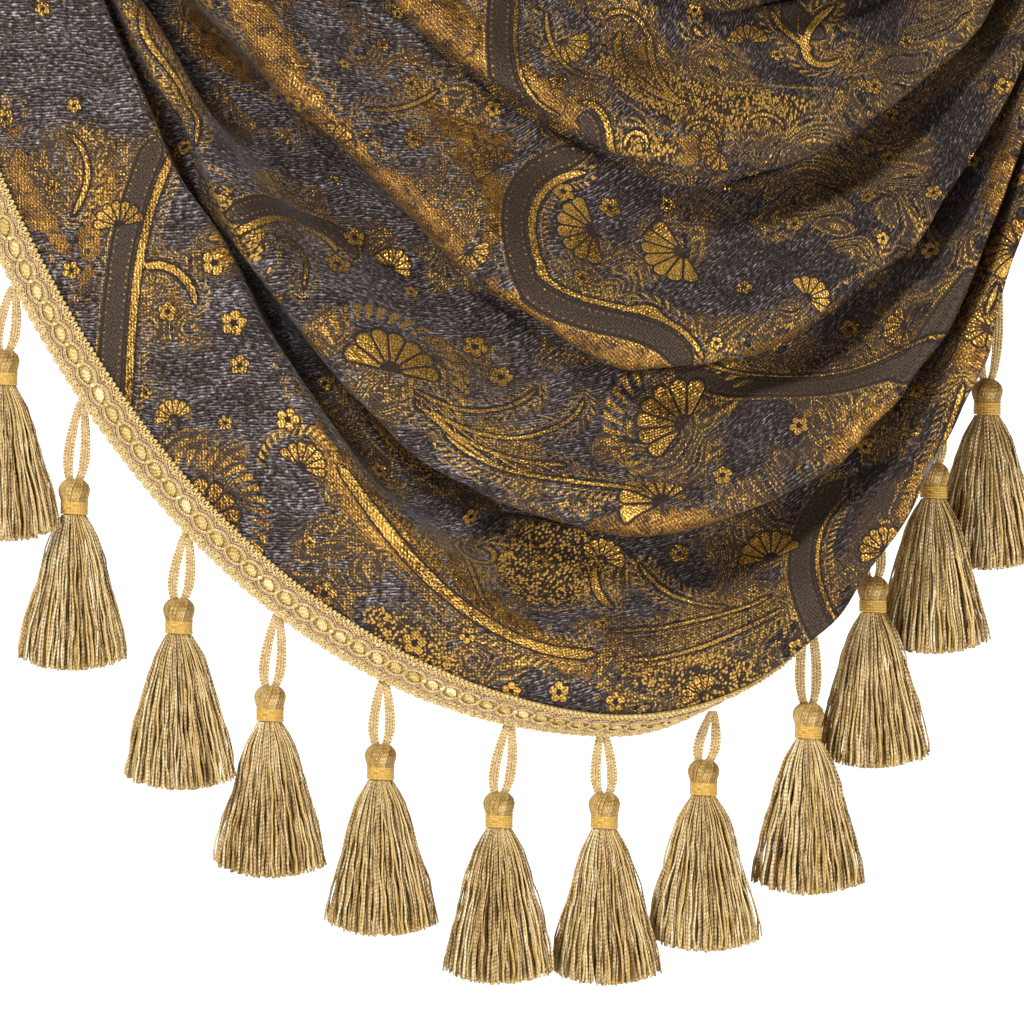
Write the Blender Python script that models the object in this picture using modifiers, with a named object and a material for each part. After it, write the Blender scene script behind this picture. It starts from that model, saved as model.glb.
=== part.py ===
"""A draped swag of jacquard cloth with a gimp braid and twelve tassels on its curved hem.

The swag hangs in the XZ plane, its heading along X at Z = 0 and its face towards -Y. The origin is the
middle of the heading. Lengths below are in millimetres and become metres where a mesh is made.
"""
from collections import namedtuple

import bmesh
import bpy
import numpy as np
from mathutils import Matrix

MM = 0.001

# --- driving dimensions ------------------------------------------------------------------------------
CLOTH_THICKNESS = 1.5
HALF_COLUMNS = 20          # mesh columns from one upper corner to the low point of the folds
TURN_ROWS = 3              # mesh rows on each of the two bends between neighbouring ridges
PANEL_ROWS = 3             # mesh rows from the last ridge to the braid's inner edge
SIDE_SPREAD = 0.75         # how quickly the folds stand out from the wall, away from the corners
GATHER_TURNS = (42, 42)    # degrees that the pleats turn where they are sewn down at the corners

# Each fold line is two smooth curves that meet at its lowest point. It leaves the corner at lean degrees
# from straight down, towards the middle, and pull and reach are the lengths of the curves' handles.
Fold = namedtuple("Fold", "left_x left_lean left_pull low_x low_z left_reach right_reach "
                          "right_pull right_lean right_x stand_off")
FOLDS = [
    # left_x  lean  pull  low_x  low_z  reach reach  pull  lean right_x stand_off
    Fold(-138,  90,   50,    14,    -2,    50,   50,   50,   90,    160,         0),  # heading
    Fold(-146,  60,   34,    84,   -84,    60,   60,   50,   30,    168,        17),
    Fold(-155,  53,   34,    76,  -156,    45,   75,  107,    8,    175,        25),
    Fold(-165,  28,  129,    67,  -217,    49,   45,  160,  -14,    182,        31),
    Fold(-178,   9,  117,    43,  -281,    33,  101,  164,   -7,    189,        35),
    Fold(-190,  22,   80,    43,  -334,   130,   96,  216,    0,    196,        37),
    Fold(-204,  25,  127,    44,  -390,   105,  117,  163,    5,    208,        37),  # last ridge
    Fold(-220,  -2,  174,    37,  -402,   162,   84,  183,   -5,    191,        37),  # hem
]

# How far the cloth turns, in degrees, just after a ridge and just before the next one, at four stations
# along the fold. Past 90 it tucks under itself, so that ridge overhangs: after for the fold above, before
# for the fold below.
STATIONS = (0.20, 0.38, 0.48, 0.80)    # outer left, inner left, low point, right: shares of the fold
Valley = namedtuple("Valley", "after before")
VALLEYS = [
    Valley(after=(15, 17, 18, 18), before=(25, 28, 28, 28)),
    Valley(after=(80, 98, 104, 108), before=(38, 34, 34, 34)),
    Valley(after=(84, 100, 106, 112), before=(38, 34, 34, 34)),
    Valley(after=(82, 104, 110, 118), before=(42, 38, 36, 36)),
    Valley(after=(62, 86, 112, 120), before=(118, 52, 37, 36)),
    Valley(after=(50, 62, 112, 122), before=(112, 112, 46, 36)),
]

HEM_BEHIND = (4, 5, 8, 15)             # the hem's depth behind the last ridge at the stations
LAST_TURN_REACH = (12, 12, 9, 13)      # how far the last ridge runs on before it turns to the hem
HEM_BEHIND_CORNERS = (3, 9)
LAST_TURN_REACH_CORNERS = (4, 4)

GIMP_WIDTH = 12.7
GIMP_THICKNESS = 1.8
GIMP_ON_CLOTH = 10.0                   # the rest of its width stands past the hem
GIMP_LIFT = CLOTH_THICKNESS / 2 + 0.45  # its back's height over the middle of the cloth
GIMP_CROWN = (0.75, 1.0, 1.0, 0.7)     # shares of its thickness: inner edge, middle, hem, outer edge
LEAST_PANEL_SHARE = 0.7                # of a narrow turned hem, the most that the braid covers

HEAD_WIDTH = 10.3
HEAD_HEIGHT = 7.0
HEAD_SHOULDER = (6.4, 0.9)             # the width of the head's rounded top, and how far down it is
NECK_WIDTH = 9.3
NECK_HEIGHT = 5.0
SKIRT_LENGTH = 51.3
SKIRT_WIDTH = 39.6
SKIRT_DEPTH = 14.0
SKIRT_KNEE = 13.0                      # below the neck, where the skirt stops opening quickly
KNEE_WIDTH = 21.0
KNEE_DEPTH = 10.0
SKIRT_DOME = 4.5                       # how much higher the skirt's outer locks end
LOCKS = 12
LOCK_GAP_SHARE = 0.18                  # of each lock's share of the circle, what is left open
ROOT_CORE = 0.34                       # the locks' inner side as a share of the outer, from root to end
KNEE_CORE = 0.36
END_CORE = 0.42
RAGGED_ENDS = 0.9
SKIRT_YAW = np.radians(-16)            # each skirt's right edge stands forward, clear of its neighbour
CORD_WIDTH = 2.2
CORD_THICKNESS = 1.5
LOOP_BOW = 1.9
LOOP_LOW = 0.65                        # under 1, the loop is widest below its middle
LOOP_CREST = 1.2                       # half the gap between the legs' middles at the top of the loop
LOOP_ROOT = 2.2                        # how deep the loop's foot is in the head
LOOP_SIDES = 6                         # sections up each leg of the loop

# The top of each head, how far to its right the loop is sewn on, and how far it hangs behind that seam.
# The loops of the last five come over the turned hem, and over is how far their middles are from the braid.
Tassel = namedtuple("Tassel", "head_x head_z loop_shift behind over")
TASSELS = [
    Tassel(-166.7, -276.7, 3.0, -1.0, None),
    Tassel(-143.3, -319.7, 2.5, 1.5, None),
    Tassel(-108.3, -359.3, 2.5, 0.0, None),
    Tassel(-78.0, -388.3, 2.5, 0.0, None),
    Tassel(-41.3, -407.7, 1.0, 0.0, None),
    Tassel(-2.0, -423.7, 3.5, 0.0, None),
    Tassel(33.0, -424.0, -0.5, 0.0, None),
    Tassel(66.0, -413.0, 3.0, 0.0, 2.5),
    Tassel(101.0, -394.3, 0.0, 0.0, 1.5),
    Tassel(122.7, -352.3, 0.0, 1.0, 1.5),
    Tassel(143.3, -314.3, 0.0, 3.0, 1.7),
    Tassel(161.7, -286.3, 2.0, 6.0, 1.9),
]
SEAM_GAP = 0.8                         # between the hem's edge and a loop behind the braid

COLOURS = {                            # linear colour, roughness
    "jacquard": ((0.075, 0.062, 0.055), 0.75),
    "gimp": ((0.56, 0.42, 0.20), 0.55),
    "tassel yarn": ((0.50, 0.34, 0.13), 0.50),
}


# --- scene -------------------------------------------------------------------------------------------
def clear_scene():
    for obj in list(bpy.data.objects):
        bpy.data.objects.remove(obj, do_unlink=True)


def new_collection(name, helper=False):
    collection = bpy.data.collections.new(name)
    collection.hide_render = helper
    bpy.context.scene.collection.children.link(collection)
    return collection


def material(name):
    colour, roughness = COLOURS[name]
    made = bpy.data.materials.new(name)
    made.use_nodes = True
    shader = made.node_tree.nodes["Principled BSDF"]
    shader.inputs["Base Color"].default_value = (*colour, 1)
    shader.inputs["Roughness"].default_value = roughness
    shader.inputs["Metallic"].default_value = 0
    return made


def mesh_object(name, points, faces, collection, slot=None):
    """An object from points in millimetres, with its faces turned outwards."""
    mesh = bpy.data.meshes.new(name)
    mesh.from_pydata([tuple(point) for point in np.asarray(points, float) * MM], [], faces)
    cage = bmesh.new()
    cage.from_mesh(mesh)
    bmesh.ops.recalc_face_normals(cage, faces=cage.faces)
    cage.to_mesh(mesh)
    cage.free()
    mesh.shade_smooth()
    mesh.set_sharp_from_angle(angle=np.radians(50))
    if slot:
        mesh.materials.append(slot)
    obj = bpy.data.objects.new(name, mesh)
    collection.objects.link(obj)
    return obj


# --- the folds ---------------------------------------------------------------------------------------
def fold_half(corner_x, lean, pull, low, reach, side, count):
    """Points, evenly spaced, from an upper corner to the fold's lowest point. side is -1 at the left."""
    tilt = np.radians(lean)
    start = np.array([corner_x, 0.0])
    leave = start + pull * np.array([-side * np.sin(tilt), -np.cos(tilt)])
    arrive = np.array([low[0] + side * reach, low[1]])
    t = np.linspace(0, 1, 200)[:, None]
    curve = ((1 - t) ** 3 * start + 3 * (1 - t) ** 2 * t * leave
             + 3 * (1 - t) * t ** 2 * arrive + t ** 3 * np.asarray(low, float))
    length = np.concatenate([[0], np.cumsum(np.linalg.norm(np.diff(curve, axis=0), axis=1))])
    at = np.linspace(0, length[-1], count)
    return np.column_stack([np.interp(at, length, curve[:, axis]) for axis in range(2)])


def fold_line(fold, half_columns):
    """(x, z) of each column along one fold, from the left corner over the low point to the right corner."""
    low = (fold.low_x, fold.low_z)
    left = fold_half(fold.left_x, fold.left_lean, fold.left_pull, low, fold.left_reach, -1,
                     half_columns + 1)
    right = fold_half(fold.right_x, fold.right_lean, fold.right_pull, low, fold.right_reach, 1,
                      half_columns + 1)
    return np.concatenate([left, right[-2::-1]])


def along(columns, values, corners):
    """A value at each column, eased between the corners' two values and those at the stations."""
    stations = np.array([0.0, *STATIONS, 1.0])
    levels = np.array([corners[0], *values, corners[1]], float)
    place = np.searchsorted(stations, columns, side="right").clip(1, len(stations) - 1)
    share = (columns - stations[place - 1]) / (stations[place] - stations[place - 1])
    share = share * share * (3 - 2 * share)
    return levels[place - 1] * (1 - share) + levels[place] * share


def fold_section(after, before, rows):
    """The cloth's section from one ridge to the next, which lie 1 apart.

    It leaves the first ridge, turns back by up to after degrees and comes forward again, turned by up to
    before degrees, to the next ridge. Gives advance and depth, each (2 * rows + 1, columns).
    """
    steps = 48
    half_wave = np.sin(np.pi * (np.arange(steps) + 0.5) / steps)[:, None]
    angles = (np.radians(after)[None] * half_wave, -np.radians(before)[None] * half_wave)
    back, forward = (np.abs(np.sin(angle).mean(axis=0)) for angle in angles)
    first = forward / (back + forward)
    shares = (first, 1 - first)
    advance = np.concatenate([np.cos(angle) * share / steps for angle, share in zip(angles, shares)])
    depth = np.concatenate([np.sin(angle) * share / steps for angle, share in zip(angles, shares)])
    total = advance.sum(axis=0)
    zero = np.zeros((1, len(after)))
    advance = np.concatenate([zero, np.cumsum(advance, axis=0)]) / total
    depth = np.concatenate([zero, np.cumsum(depth, axis=0)]) / total
    picked = np.round(np.linspace(0, 2 * steps, 2 * rows + 1)).astype(int)
    return advance[picked], depth[picked]


def swag_surface(half_columns, turn_rows, panel_rows):
    """The middle of the cloth: points (rows, columns, 3), the heading in row 0 and the hem in the last."""
    columns = np.linspace(0, 1, 2 * half_columns + 1)
    lines = np.array([fold_line(fold, half_columns) for fold in FOLDS])
    spread = np.sin(np.pi * columns) ** SIDE_SPREAD
    fronts = np.array([-fold.stand_off * spread for fold in FOLDS])
    rows = []
    for upper, valley in enumerate(VALLEYS):
        after = along(columns, valley.after, GATHER_TURNS)
        before = along(columns, valley.before, GATHER_TURNS)
        advance, depth = fold_section(after, before, turn_rows)
        step = lines[upper + 1] - lines[upper]
        apart = np.linalg.norm(step, axis=1)
        ease = np.clip(advance, 0, 1)
        ease = ease * ease * (3 - 2 * ease)
        for forward, back, share in zip(advance[:-1], depth[:-1], ease[:-1]):
            flat = lines[upper] + step * forward[:, None]
            front = fronts[upper] * (1 - share) + fronts[upper + 1] * share
            rows.append(np.column_stack([flat[:, 0], front + back * apart, flat[:, 1]]))
    rows.extend(last_panel(columns, lines, fronts, panel_rows))
    return np.array(rows)


def last_panel(columns, lines, fronts, panel_rows):
    """Rows from the last ridge to the hem. At the right the cloth turns under, and the hem is behind it."""
    run = lines[-2] - lines[-3]
    run = run / np.linalg.norm(run, axis=1)[:, None]
    still = np.zeros(len(columns))
    ridge = np.column_stack([lines[-2][:, 0], fronts[-2], lines[-2][:, 1]])
    behind = fronts[-1] + along(columns, HEM_BEHIND, HEM_BEHIND_CORNERS)
    hem = np.column_stack([lines[-1][:, 0], behind, lines[-1][:, 1]])
    onward = np.column_stack([run[:, 0], still, run[:, 1]])
    leave = ridge + onward * along(columns, LAST_TURN_REACH, LAST_TURN_REACH_CORNERS)[:, None]
    arrive = hem + (ridge - hem) / 3
    t = np.linspace(0, 1, 61)[:, None, None]
    curve = (1 - t) ** 3 * ridge + 3 * (1 - t) ** 2 * t * leave + 3 * (1 - t) * t ** 2 * arrive + t ** 3 * hem
    pieces = np.linalg.norm(np.diff(curve, axis=0), axis=2)
    to_hem = np.concatenate([np.cumsum(pieces[::-1], axis=0)[::-1], np.zeros((1, len(columns)))])
    under_braid = np.minimum(GIMP_ON_CLOTH, LEAST_PANEL_SHARE * to_hem[0])
    shares = np.linspace(1, 0, panel_rows + 1)[:, None]
    targets = np.concatenate([under_braid + shares * (to_hem[0] - under_braid),
                              0.5 * under_braid[None], 0 * under_braid[None]])
    rows = np.empty((len(targets), len(columns), 3))
    for column in range(len(columns)):
        for axis in range(3):
            rows[:, column, axis] = np.interp(-targets[:, column], -to_hem[:, column], curve[:, column, axis])
    return rows


def surface_normals(surface):
    """Unit normals of a grid of points, towards the cloth's face."""
    down = np.gradient(surface, axis=0)
    across = np.gradient(surface, axis=1)
    normals = np.cross(down, across)
    return normals / np.linalg.norm(normals, axis=2)[:, :, None]


def grid_faces(rows, columns):
    return [(row * columns + column, (row + 1) * columns + column,
             (row + 1) * columns + column + 1, row * columns + column + 1)
            for row in range(rows - 1) for column in range(columns - 1)]


def make_cloth(surface, slot, collection):
    rows, columns = surface.shape[:2]
    cloth = mesh_object("swag_cloth", surface.reshape(-1, 3), grid_faces(rows, columns), collection, slot)
    shell = cloth.modifiers.new("thickness", "SOLIDIFY")
    shell.thickness = CLOTH_THICKNESS * MM
    shell.offset = 0
    shell.use_rim = True
    return cloth


# --- the braid ---------------------------------------------------------------------------------------
def braid_rows(surface):
    """The braid's middle line and edges on the cloth's face: inner, middle, hem and outer rows."""
    normals = surface_normals(surface)
    on_cloth = surface[-3:] + 0.0
    past_hem = surface[-1] - surface[-2]
    past_hem = past_hem / np.linalg.norm(past_hem, axis=1)[:, None]
    outer = surface[-1] + past_hem * (GIMP_WIDTH - GIMP_ON_CLOTH)
    rows = np.concatenate([on_cloth, outer[None]])
    return rows, np.concatenate([normals[-3:], normals[-1:]])


def make_braid(surface, slot, collection):
    rows, normals = braid_rows(surface)
    low = rows + normals * GIMP_LIFT
    crown = np.array(GIMP_CROWN)[:, None, None]
    high = rows + normals * (GIMP_LIFT + GIMP_THICKNESS * crown)
    ring = np.concatenate([low, high[::-1]])
    around, columns = ring.shape[:2]
    points = ring.reshape(-1, 3)
    faces = [(a * columns + c, ((a + 1) % around) * columns + c,
              ((a + 1) % around) * columns + c + 1, a * columns + c + 1)
             for a in range(around) for c in range(columns - 1)]
    faces.append([a * columns for a in range(around)])
    faces.append([a * columns + columns - 1 for a in reversed(range(around))])
    return mesh_object("gimp_braid", points, faces, collection, slot)


def seam_at(surface, x, over):
    """The middle of a loop's crest where the hem crosses x.

    It lies behind the braid's free edge, just past the hem or, where over is given, that far from its face.
    """
    rows, normals = braid_rows(surface)
    past = rows[-1] - rows[-2]
    past = past / np.linalg.norm(past, axis=1)[:, None]
    if over is None:
        half_size = np.array([LOOP_CREST + CORD_WIDTH / 2, CORD_THICKNESS / 2, CORD_WIDTH / 2])
        clear = SEAM_GAP + np.abs(past) @ half_size
        seam = rows[-2] + past * clear[:, None]
    else:
        seam = rows[-1] + normals[-1] * (GIMP_LIFT + GIMP_THICKNESS * GIMP_CROWN[-1] + over)
    return np.array([np.interp(x, seam[:, 0], seam[:, axis]) for axis in range(3)])


# --- the tassels -------------------------------------------------------------------------------------
def ellipse(width, depth, angles, z):
    return np.column_stack([np.cos(angles) * width / 2, np.sin(angles) * depth / 2,
                            np.broadcast_to(z, np.shape(angles))])


def tassel_body():
    """A round head and a wound neck, one solid with the locks of the skirt below. Its top is at 0."""
    pitch = 2 * np.pi / LOCKS
    gap = pitch * LOCK_GAP_SHARE
    rim = np.sort(np.concatenate([np.arange(LOCKS) * pitch + gap / 2,
                                  (np.arange(LOCKS) + 1) * pitch - gap / 2]))
    neck_z = -HEAD_HEIGHT
    root_z = neck_z - NECK_HEIGHT
    turned = [(HEAD_SHOULDER[0], -HEAD_SHOULDER[1]), (HEAD_WIDTH, -HEAD_HEIGHT / 2),
              (NECK_WIDTH, neck_z), (NECK_WIDTH, root_z)]
    points = [np.array([[0.0, 0.0, 0.0]])]
    points += [ellipse(width, width, rim, z) for width, z in turned]
    count = 2 * LOCKS
    faces = [(0, 1 + i, 1 + (i + 1) % count) for i in range(count)]
    for ring in range(len(turned) - 1):
        start = 1 + ring * count
        faces += [(start + i, start + count + i, start + count + (i + 1) % count,
                   start + (i + 1) % count) for i in range(count)]
    outer = 1 + (len(turned) - 1) * count
    inner = outer + count
    points.append(ellipse(NECK_WIDTH * ROOT_CORE, NECK_WIDTH * ROOT_CORE, rim, root_z))
    faces += [(outer + i, inner + i, inner + (i + 1) % count, outer + (i + 1) % count)
              for i in range(1, count, 2)]
    faces.append([inner + i for i in range(count)])
    widths = ((KNEE_WIDTH, KNEE_DEPTH, KNEE_CORE, SKIRT_KNEE),
              (SKIRT_WIDTH, SKIRT_DEPTH, END_CORE, SKIRT_LENGTH))
    first = inner + count
    for lock in range(LOCKS):
        a, b = 2 * lock, 2 * lock + 1
        pair = rim[[a, b]]
        ragged = RAGGED_ENDS * np.sin(2.4 * lock)
        upper = [outer + a, outer + b, inner + b, inner + a]
        for width, depth, core, drop in widths:
            share = (drop / SKIRT_LENGTH) ** 2
            level = root_z - drop + share * (SKIRT_DOME * np.cos(pair) ** 2 + ragged)
            outside = ellipse(width, depth, pair, level)
            inside = ellipse(width * core, depth * core, pair[::-1], level[::-1])
            points.append(np.concatenate([outside, inside]))
            lower = [first, first + 1, first + 2, first + 3]
            faces += [(upper[i], lower[i], lower[(i + 1) % 4], upper[(i + 1) % 4]) for i in range(4)]
            upper = lower
            first += 4
        faces.append(upper)
    turn = np.array(Matrix.Rotation(SKIRT_YAW, 3, "Z"))
    return np.concatenate(points) @ turn.T, faces


def loop_ring(top):
    """A flat cord's closed loop from inside the head, at 0, up to top. Four-sided sections."""
    foot = np.array([0.0, 0.0, -LOOP_ROOT])
    crest = np.asarray(top, float)
    share = np.linspace(0, 1, LOOP_SIDES + 1)
    bow = LOOP_CREST + LOOP_BOW * np.sin(np.pi * share ** LOOP_LOW)
    middle = foot + (crest - foot) * share[:, None]
    right = middle + np.outer(bow, [1, 0, 0])
    left = middle - np.outer(bow, [1, 0, 0])
    path = np.concatenate([right, left[::-1]])
    run = np.roll(path, -1, axis=0) - np.roll(path, 1, axis=0)
    run /= np.linalg.norm(run, axis=1)[:, None]
    flat = np.cross(crest - foot, [1.0, 0, 0])
    flat /= np.linalg.norm(flat)
    side = np.cross(run, flat)
    corners = [path + side * CORD_WIDTH / 2 * across + flat * CORD_THICKNESS / 2 * out
               for across, out in ((-1, -1), (1, -1), (1, 1), (-1, 1))]
    sections = len(path)
    faces = [(k * sections + i, ((k + 1) % 4) * sections + i,
              ((k + 1) % 4) * sections + (i + 1) % sections, k * sections + (i + 1) % sections)
             for k in range(4) for i in range(sections)]
    return np.concatenate(corners), faces


def make_tassel(number, spec, surface, slot, collection, helpers):
    seam = seam_at(surface, spec.head_x + spec.loop_shift, spec.over)
    head = np.array([spec.head_x, seam[1] + spec.behind, spec.head_z])
    points, faces = tassel_body()
    tassel = mesh_object(f"tassel_{number:02d}", points, faces, collection, slot)
    tassel.location = head * MM
    ring, ring_faces = loop_ring(seam - head)
    loop = mesh_object(f"loop_{number:02d}", ring, ring_faces, helpers)
    loop.location = head * MM
    loop.hide_render = True
    loop.display_type = "WIRE"
    join = tassel.modifiers.new("loop", "BOOLEAN")
    join.operation = "UNION"
    join.object = loop
    return tassel


def build():
    clear_scene()
    swag = new_collection("draped_swag")
    helpers = new_collection("helpers", helper=True)
    surface = swag_surface(HALF_COLUMNS, TURN_ROWS, PANEL_ROWS)
    make_cloth(surface, material("jacquard"), swag)
    make_braid(surface, material("gimp"), swag)
    yarn = material("tassel yarn")
    for number, spec in enumerate(TASSELS, start=1):
        make_tassel(number, spec, surface, yarn, swag, helpers)


build()
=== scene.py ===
# %% [markdown]
# # A draped swag with a tassel fringe
#
# A swag is one piece of furnishing cloth, gathered at its two upper corners, so that it hangs between them
# in nested folds. This one is a heavy paisley jacquard: grey chenille and brown satin with gold figures.
# Its curved hem carries a woven braid, and tassels hang from the hem on loops of cord.
#
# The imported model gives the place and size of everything. Here each of its solids is replaced by a finer
# one on the same shape: the cloth by a smooth sheet with its woven pattern, the braid by the cords that it
# is worked from, and each tassel by its yarns.

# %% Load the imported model
from collections import namedtuple

import bpy
import numpy as np
from mathutils import Matrix, Vector


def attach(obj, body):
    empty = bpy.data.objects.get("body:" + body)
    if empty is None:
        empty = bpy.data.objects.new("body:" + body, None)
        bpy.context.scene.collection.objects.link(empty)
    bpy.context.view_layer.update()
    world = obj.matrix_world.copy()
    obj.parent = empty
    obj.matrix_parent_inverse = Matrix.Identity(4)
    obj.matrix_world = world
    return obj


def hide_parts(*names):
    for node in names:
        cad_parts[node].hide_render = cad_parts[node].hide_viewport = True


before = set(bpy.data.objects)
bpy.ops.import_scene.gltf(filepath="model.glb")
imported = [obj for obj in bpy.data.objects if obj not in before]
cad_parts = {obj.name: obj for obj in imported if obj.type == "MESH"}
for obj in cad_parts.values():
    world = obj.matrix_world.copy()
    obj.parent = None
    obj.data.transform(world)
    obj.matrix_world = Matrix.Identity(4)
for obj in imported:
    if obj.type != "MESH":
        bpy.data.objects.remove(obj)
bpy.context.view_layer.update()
MM = 0.001
print("packed nodes:", len(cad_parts))

# %% [markdown]
# ## Helpers for colours, nodes and materials
#
# A colour picked on a screen is an sRGB value, and a shader works with linear light, so one function turns
# a hex value into a linear colour. Another adds a node: it takes the kind of node, what goes into its
# sockets in order, and its settings, and gives back one of its outputs. A recipe adds the nodes of a whole
# list, so that a material reads as named steps, from top to bottom.

# %% Colour and node helpers
def linear(hex_value):
    parts = [int(hex_value[i:i + 2], 16) / 255 for i in (1, 3, 5)]
    return [p / 12.92 if p <= 0.04045 else ((p + 0.055) / 1.055) ** 2.4 for p in parts] + [1]


def add(tree, kind, *inputs, out=0, stops=(), **settings):
    """A new node of this kind. inputs fill its sockets in order, None leaves one as it is.

    A colour ramp's stops are positions in rising order, each with a hex colour.
    """
    made = tree.nodes.new("ShaderNode" + kind)
    for name, value in settings.items():
        setattr(made, name, value)
    if stops:
        elements = made.color_ramp.elements
        elements[0].position, elements[1].position = stops[0][0], stops[-1][0]
        for position, _ in stops[1:-1]:
            elements.new(position)
        for element, (_, hex_value) in zip(elements, stops):
            element.color = linear(hex_value)
    sockets = [socket for socket in made.inputs if socket.enabled]
    for socket, value in zip(sockets, inputs):
        if isinstance(value, bpy.types.NodeSocket):
            tree.links.new(value, socket)
        elif value is not None:
            socket.default_value = value
    return [socket for socket in made.outputs if socket.enabled][out]


def new_material(name, roughness, **sockets):
    """A material with a Principled shader, whose even settings are set on the shader's own sockets."""
    made = bpy.data.materials.new(name)
    made.use_nodes = True
    shader = made.node_tree.nodes["Principled BSDF"]
    shader.inputs["Roughness"].default_value = roughness
    for socket, value in sockets.items():
        shader.inputs[socket.replace("_", " ")].default_value = value
    return made.node_tree, shader, made


print("gold thread in linear light:", [round(c, 3) for c in linear("#B98430")])

# %% A recipe of nodes
CHOICE = {"Math": "operation", "VectorMath": "operation", "Mix": "data_type"}   # set by a kind's second word
ONE_NUMBER = {"TexWhiteNoise": {"noise_dimensions": "1D"}}
LIMITS = {"Rise": (0.0, 1.0), "Fall": (1.0, 0.0)}       # what a range's two limits become
CHAINED = ("Math.MULTIPLY", "Math.MAXIMUM")             # these may have more than two inputs


def step(tree, known, kind, *inputs):
    """Adds the node of one row of a recipe, and gives back its output.

    An input is a value, a hex colour, the name of an earlier row, or a row of its own that has no name. A
    kind in capitals is one of the Math node's operations.
    """
    values = []
    for value in inputs:
        if isinstance(value, str):
            value = linear(value) if value.startswith("#") else known[value]
        elif isinstance(value, tuple) and isinstance(value[0], str):
            value = step(tree, known, *value)
        values.append(value)
    if kind in LIMITS:
        return add(tree, "MapRange", *values, *LIMITS[kind])
    if kind == "Length":
        return add(tree, "VectorMath", add(tree, "CombineXYZ", *values, 0.0), operation="LENGTH")
    kind = "Math." + kind if kind.isupper() else kind
    while kind in CHAINED and len(values) > 2:
        values[:2] = [step(tree, known, kind, *values[:2])]
    kind, _, choice = kind.partition(".")
    settings = {CHOICE[kind]: choice} if choice else ONE_NUMBER.get(kind, {})
    return add(tree, kind, *values, **settings)


def recipe(tree, known, rows):
    """Adds the step of each row under the name that it starts with."""
    for name, *row in rows:
        known[name] = step(tree, known, *row)


def read_field(tree, known, attribute, *names):
    """The three numbers that an attribute holds at each point, under these names."""
    vector = add(tree, "Attribute", out=1, attribute_name=attribute)
    for out, name in enumerate(names):
        known[name] = add(tree, "SeparateXYZ", vector, out=out)


print("a recipe's kinds with a choice:", sorted(CHOICE))

# %% [markdown]
# ## Helpers for shapes
#
# All shapes here are drawn by formula, as arrays of points. A few small steps come again and again: the
# length along a path, points at given lengths, unit vectors, a smooth ease from 0 to 1, and a curve with two
# handles. A finished array becomes a mesh, which can carry three numbers at each point for its shader.

# %% Shape helpers
def unit(vectors):
    return vectors / np.linalg.norm(vectors, axis=-1, keepdims=True)


def direction(angle):
    """Unit vectors in the plane, at this angle or at each of these."""
    return np.stack([np.cos(angle), np.sin(angle)], axis=-1)


def turned(off, degrees):
    """How far offsets in the plane reach along a heading, and to its left."""
    x, y = direction(np.radians(degrees))
    return off @ [x, y], off @ [-y, x]


def ease(share):
    return share * share * (3 - 2 * share)


def bezier(start, leave, arrive, end, t):
    """The curve from start to end that leave and arrive draw to themselves, at shares t of the way."""
    left = 1 - t
    return left ** 3 * start + 3 * left ** 2 * t * leave + 3 * left * t ** 2 * arrive + t ** 3 * end


def length_along(path):
    """Length from the start of a path, or of each of many paths, to each of its points."""
    pieces = np.linalg.norm(np.diff(path, axis=-2), axis=-1)
    return np.concatenate([np.zeros_like(pieces[..., :1]), np.cumsum(pieces, axis=-1)], axis=-1)


def at_length(spots, length, path):
    """Points of a path at these lengths along it."""
    return np.column_stack([np.interp(spots, length, column) for column in path.T])


def mesh_piece(name, points, faces, material=None):
    """An object from points in metres and its faces."""
    mesh = bpy.data.meshes.new(name)
    faces = faces.tolist() if isinstance(faces, np.ndarray) else faces
    mesh.from_pydata(np.asarray(points, float).tolist(), [], faces)
    mesh.shade_smooth()
    made = bpy.data.objects.new(name, mesh)
    bpy.context.scene.collection.objects.link(made)
    if material:
        mesh.materials.append(material)
    return made


def write_numbers(mesh, name, numbers):
    """Writes three numbers on each point of a mesh."""
    layer = mesh.attributes.new(name, "FLOAT_VECTOR", "POINT")
    layer.data.foreach_set("vector", numbers.astype(np.float32).ravel())


print("half way through an ease:", ease(0.5))

# %% [markdown]
# ## Camera, light and stage
#
# The drape is seen straight from the front through a long lens, so that its folds keep their true shapes.
# The view takes in a square of 341 mm. The main soft light stands high at the left, as in a product studio,
# with a weaker one at the right and a faint one low at the left. The floor is pale, and the sweep white.

# %% Camera
VIEW_WIDTH = 341.3 * MM
VIEW_CENTRE = Vector((2.33, -20.0, -330.7)) * MM
LENS = 250

camera_data = bpy.data.cameras.new("camera")
camera_data.lens = LENS
camera = bpy.data.objects.new("camera", camera_data)
distance = VIEW_WIDTH * LENS / camera_data.sensor_width
camera.location = VIEW_CENTRE + Vector((0, -distance, 0))
camera.rotation_euler = (np.pi / 2, 0, 0)
camera_data.clip_end = 20
bpy.context.scene.collection.objects.link(camera)
bpy.context.scene.camera = camera
bpy.context.scene.view_settings.view_transform = "Standard"
print("camera distance, m:", round(distance, 3))

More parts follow.
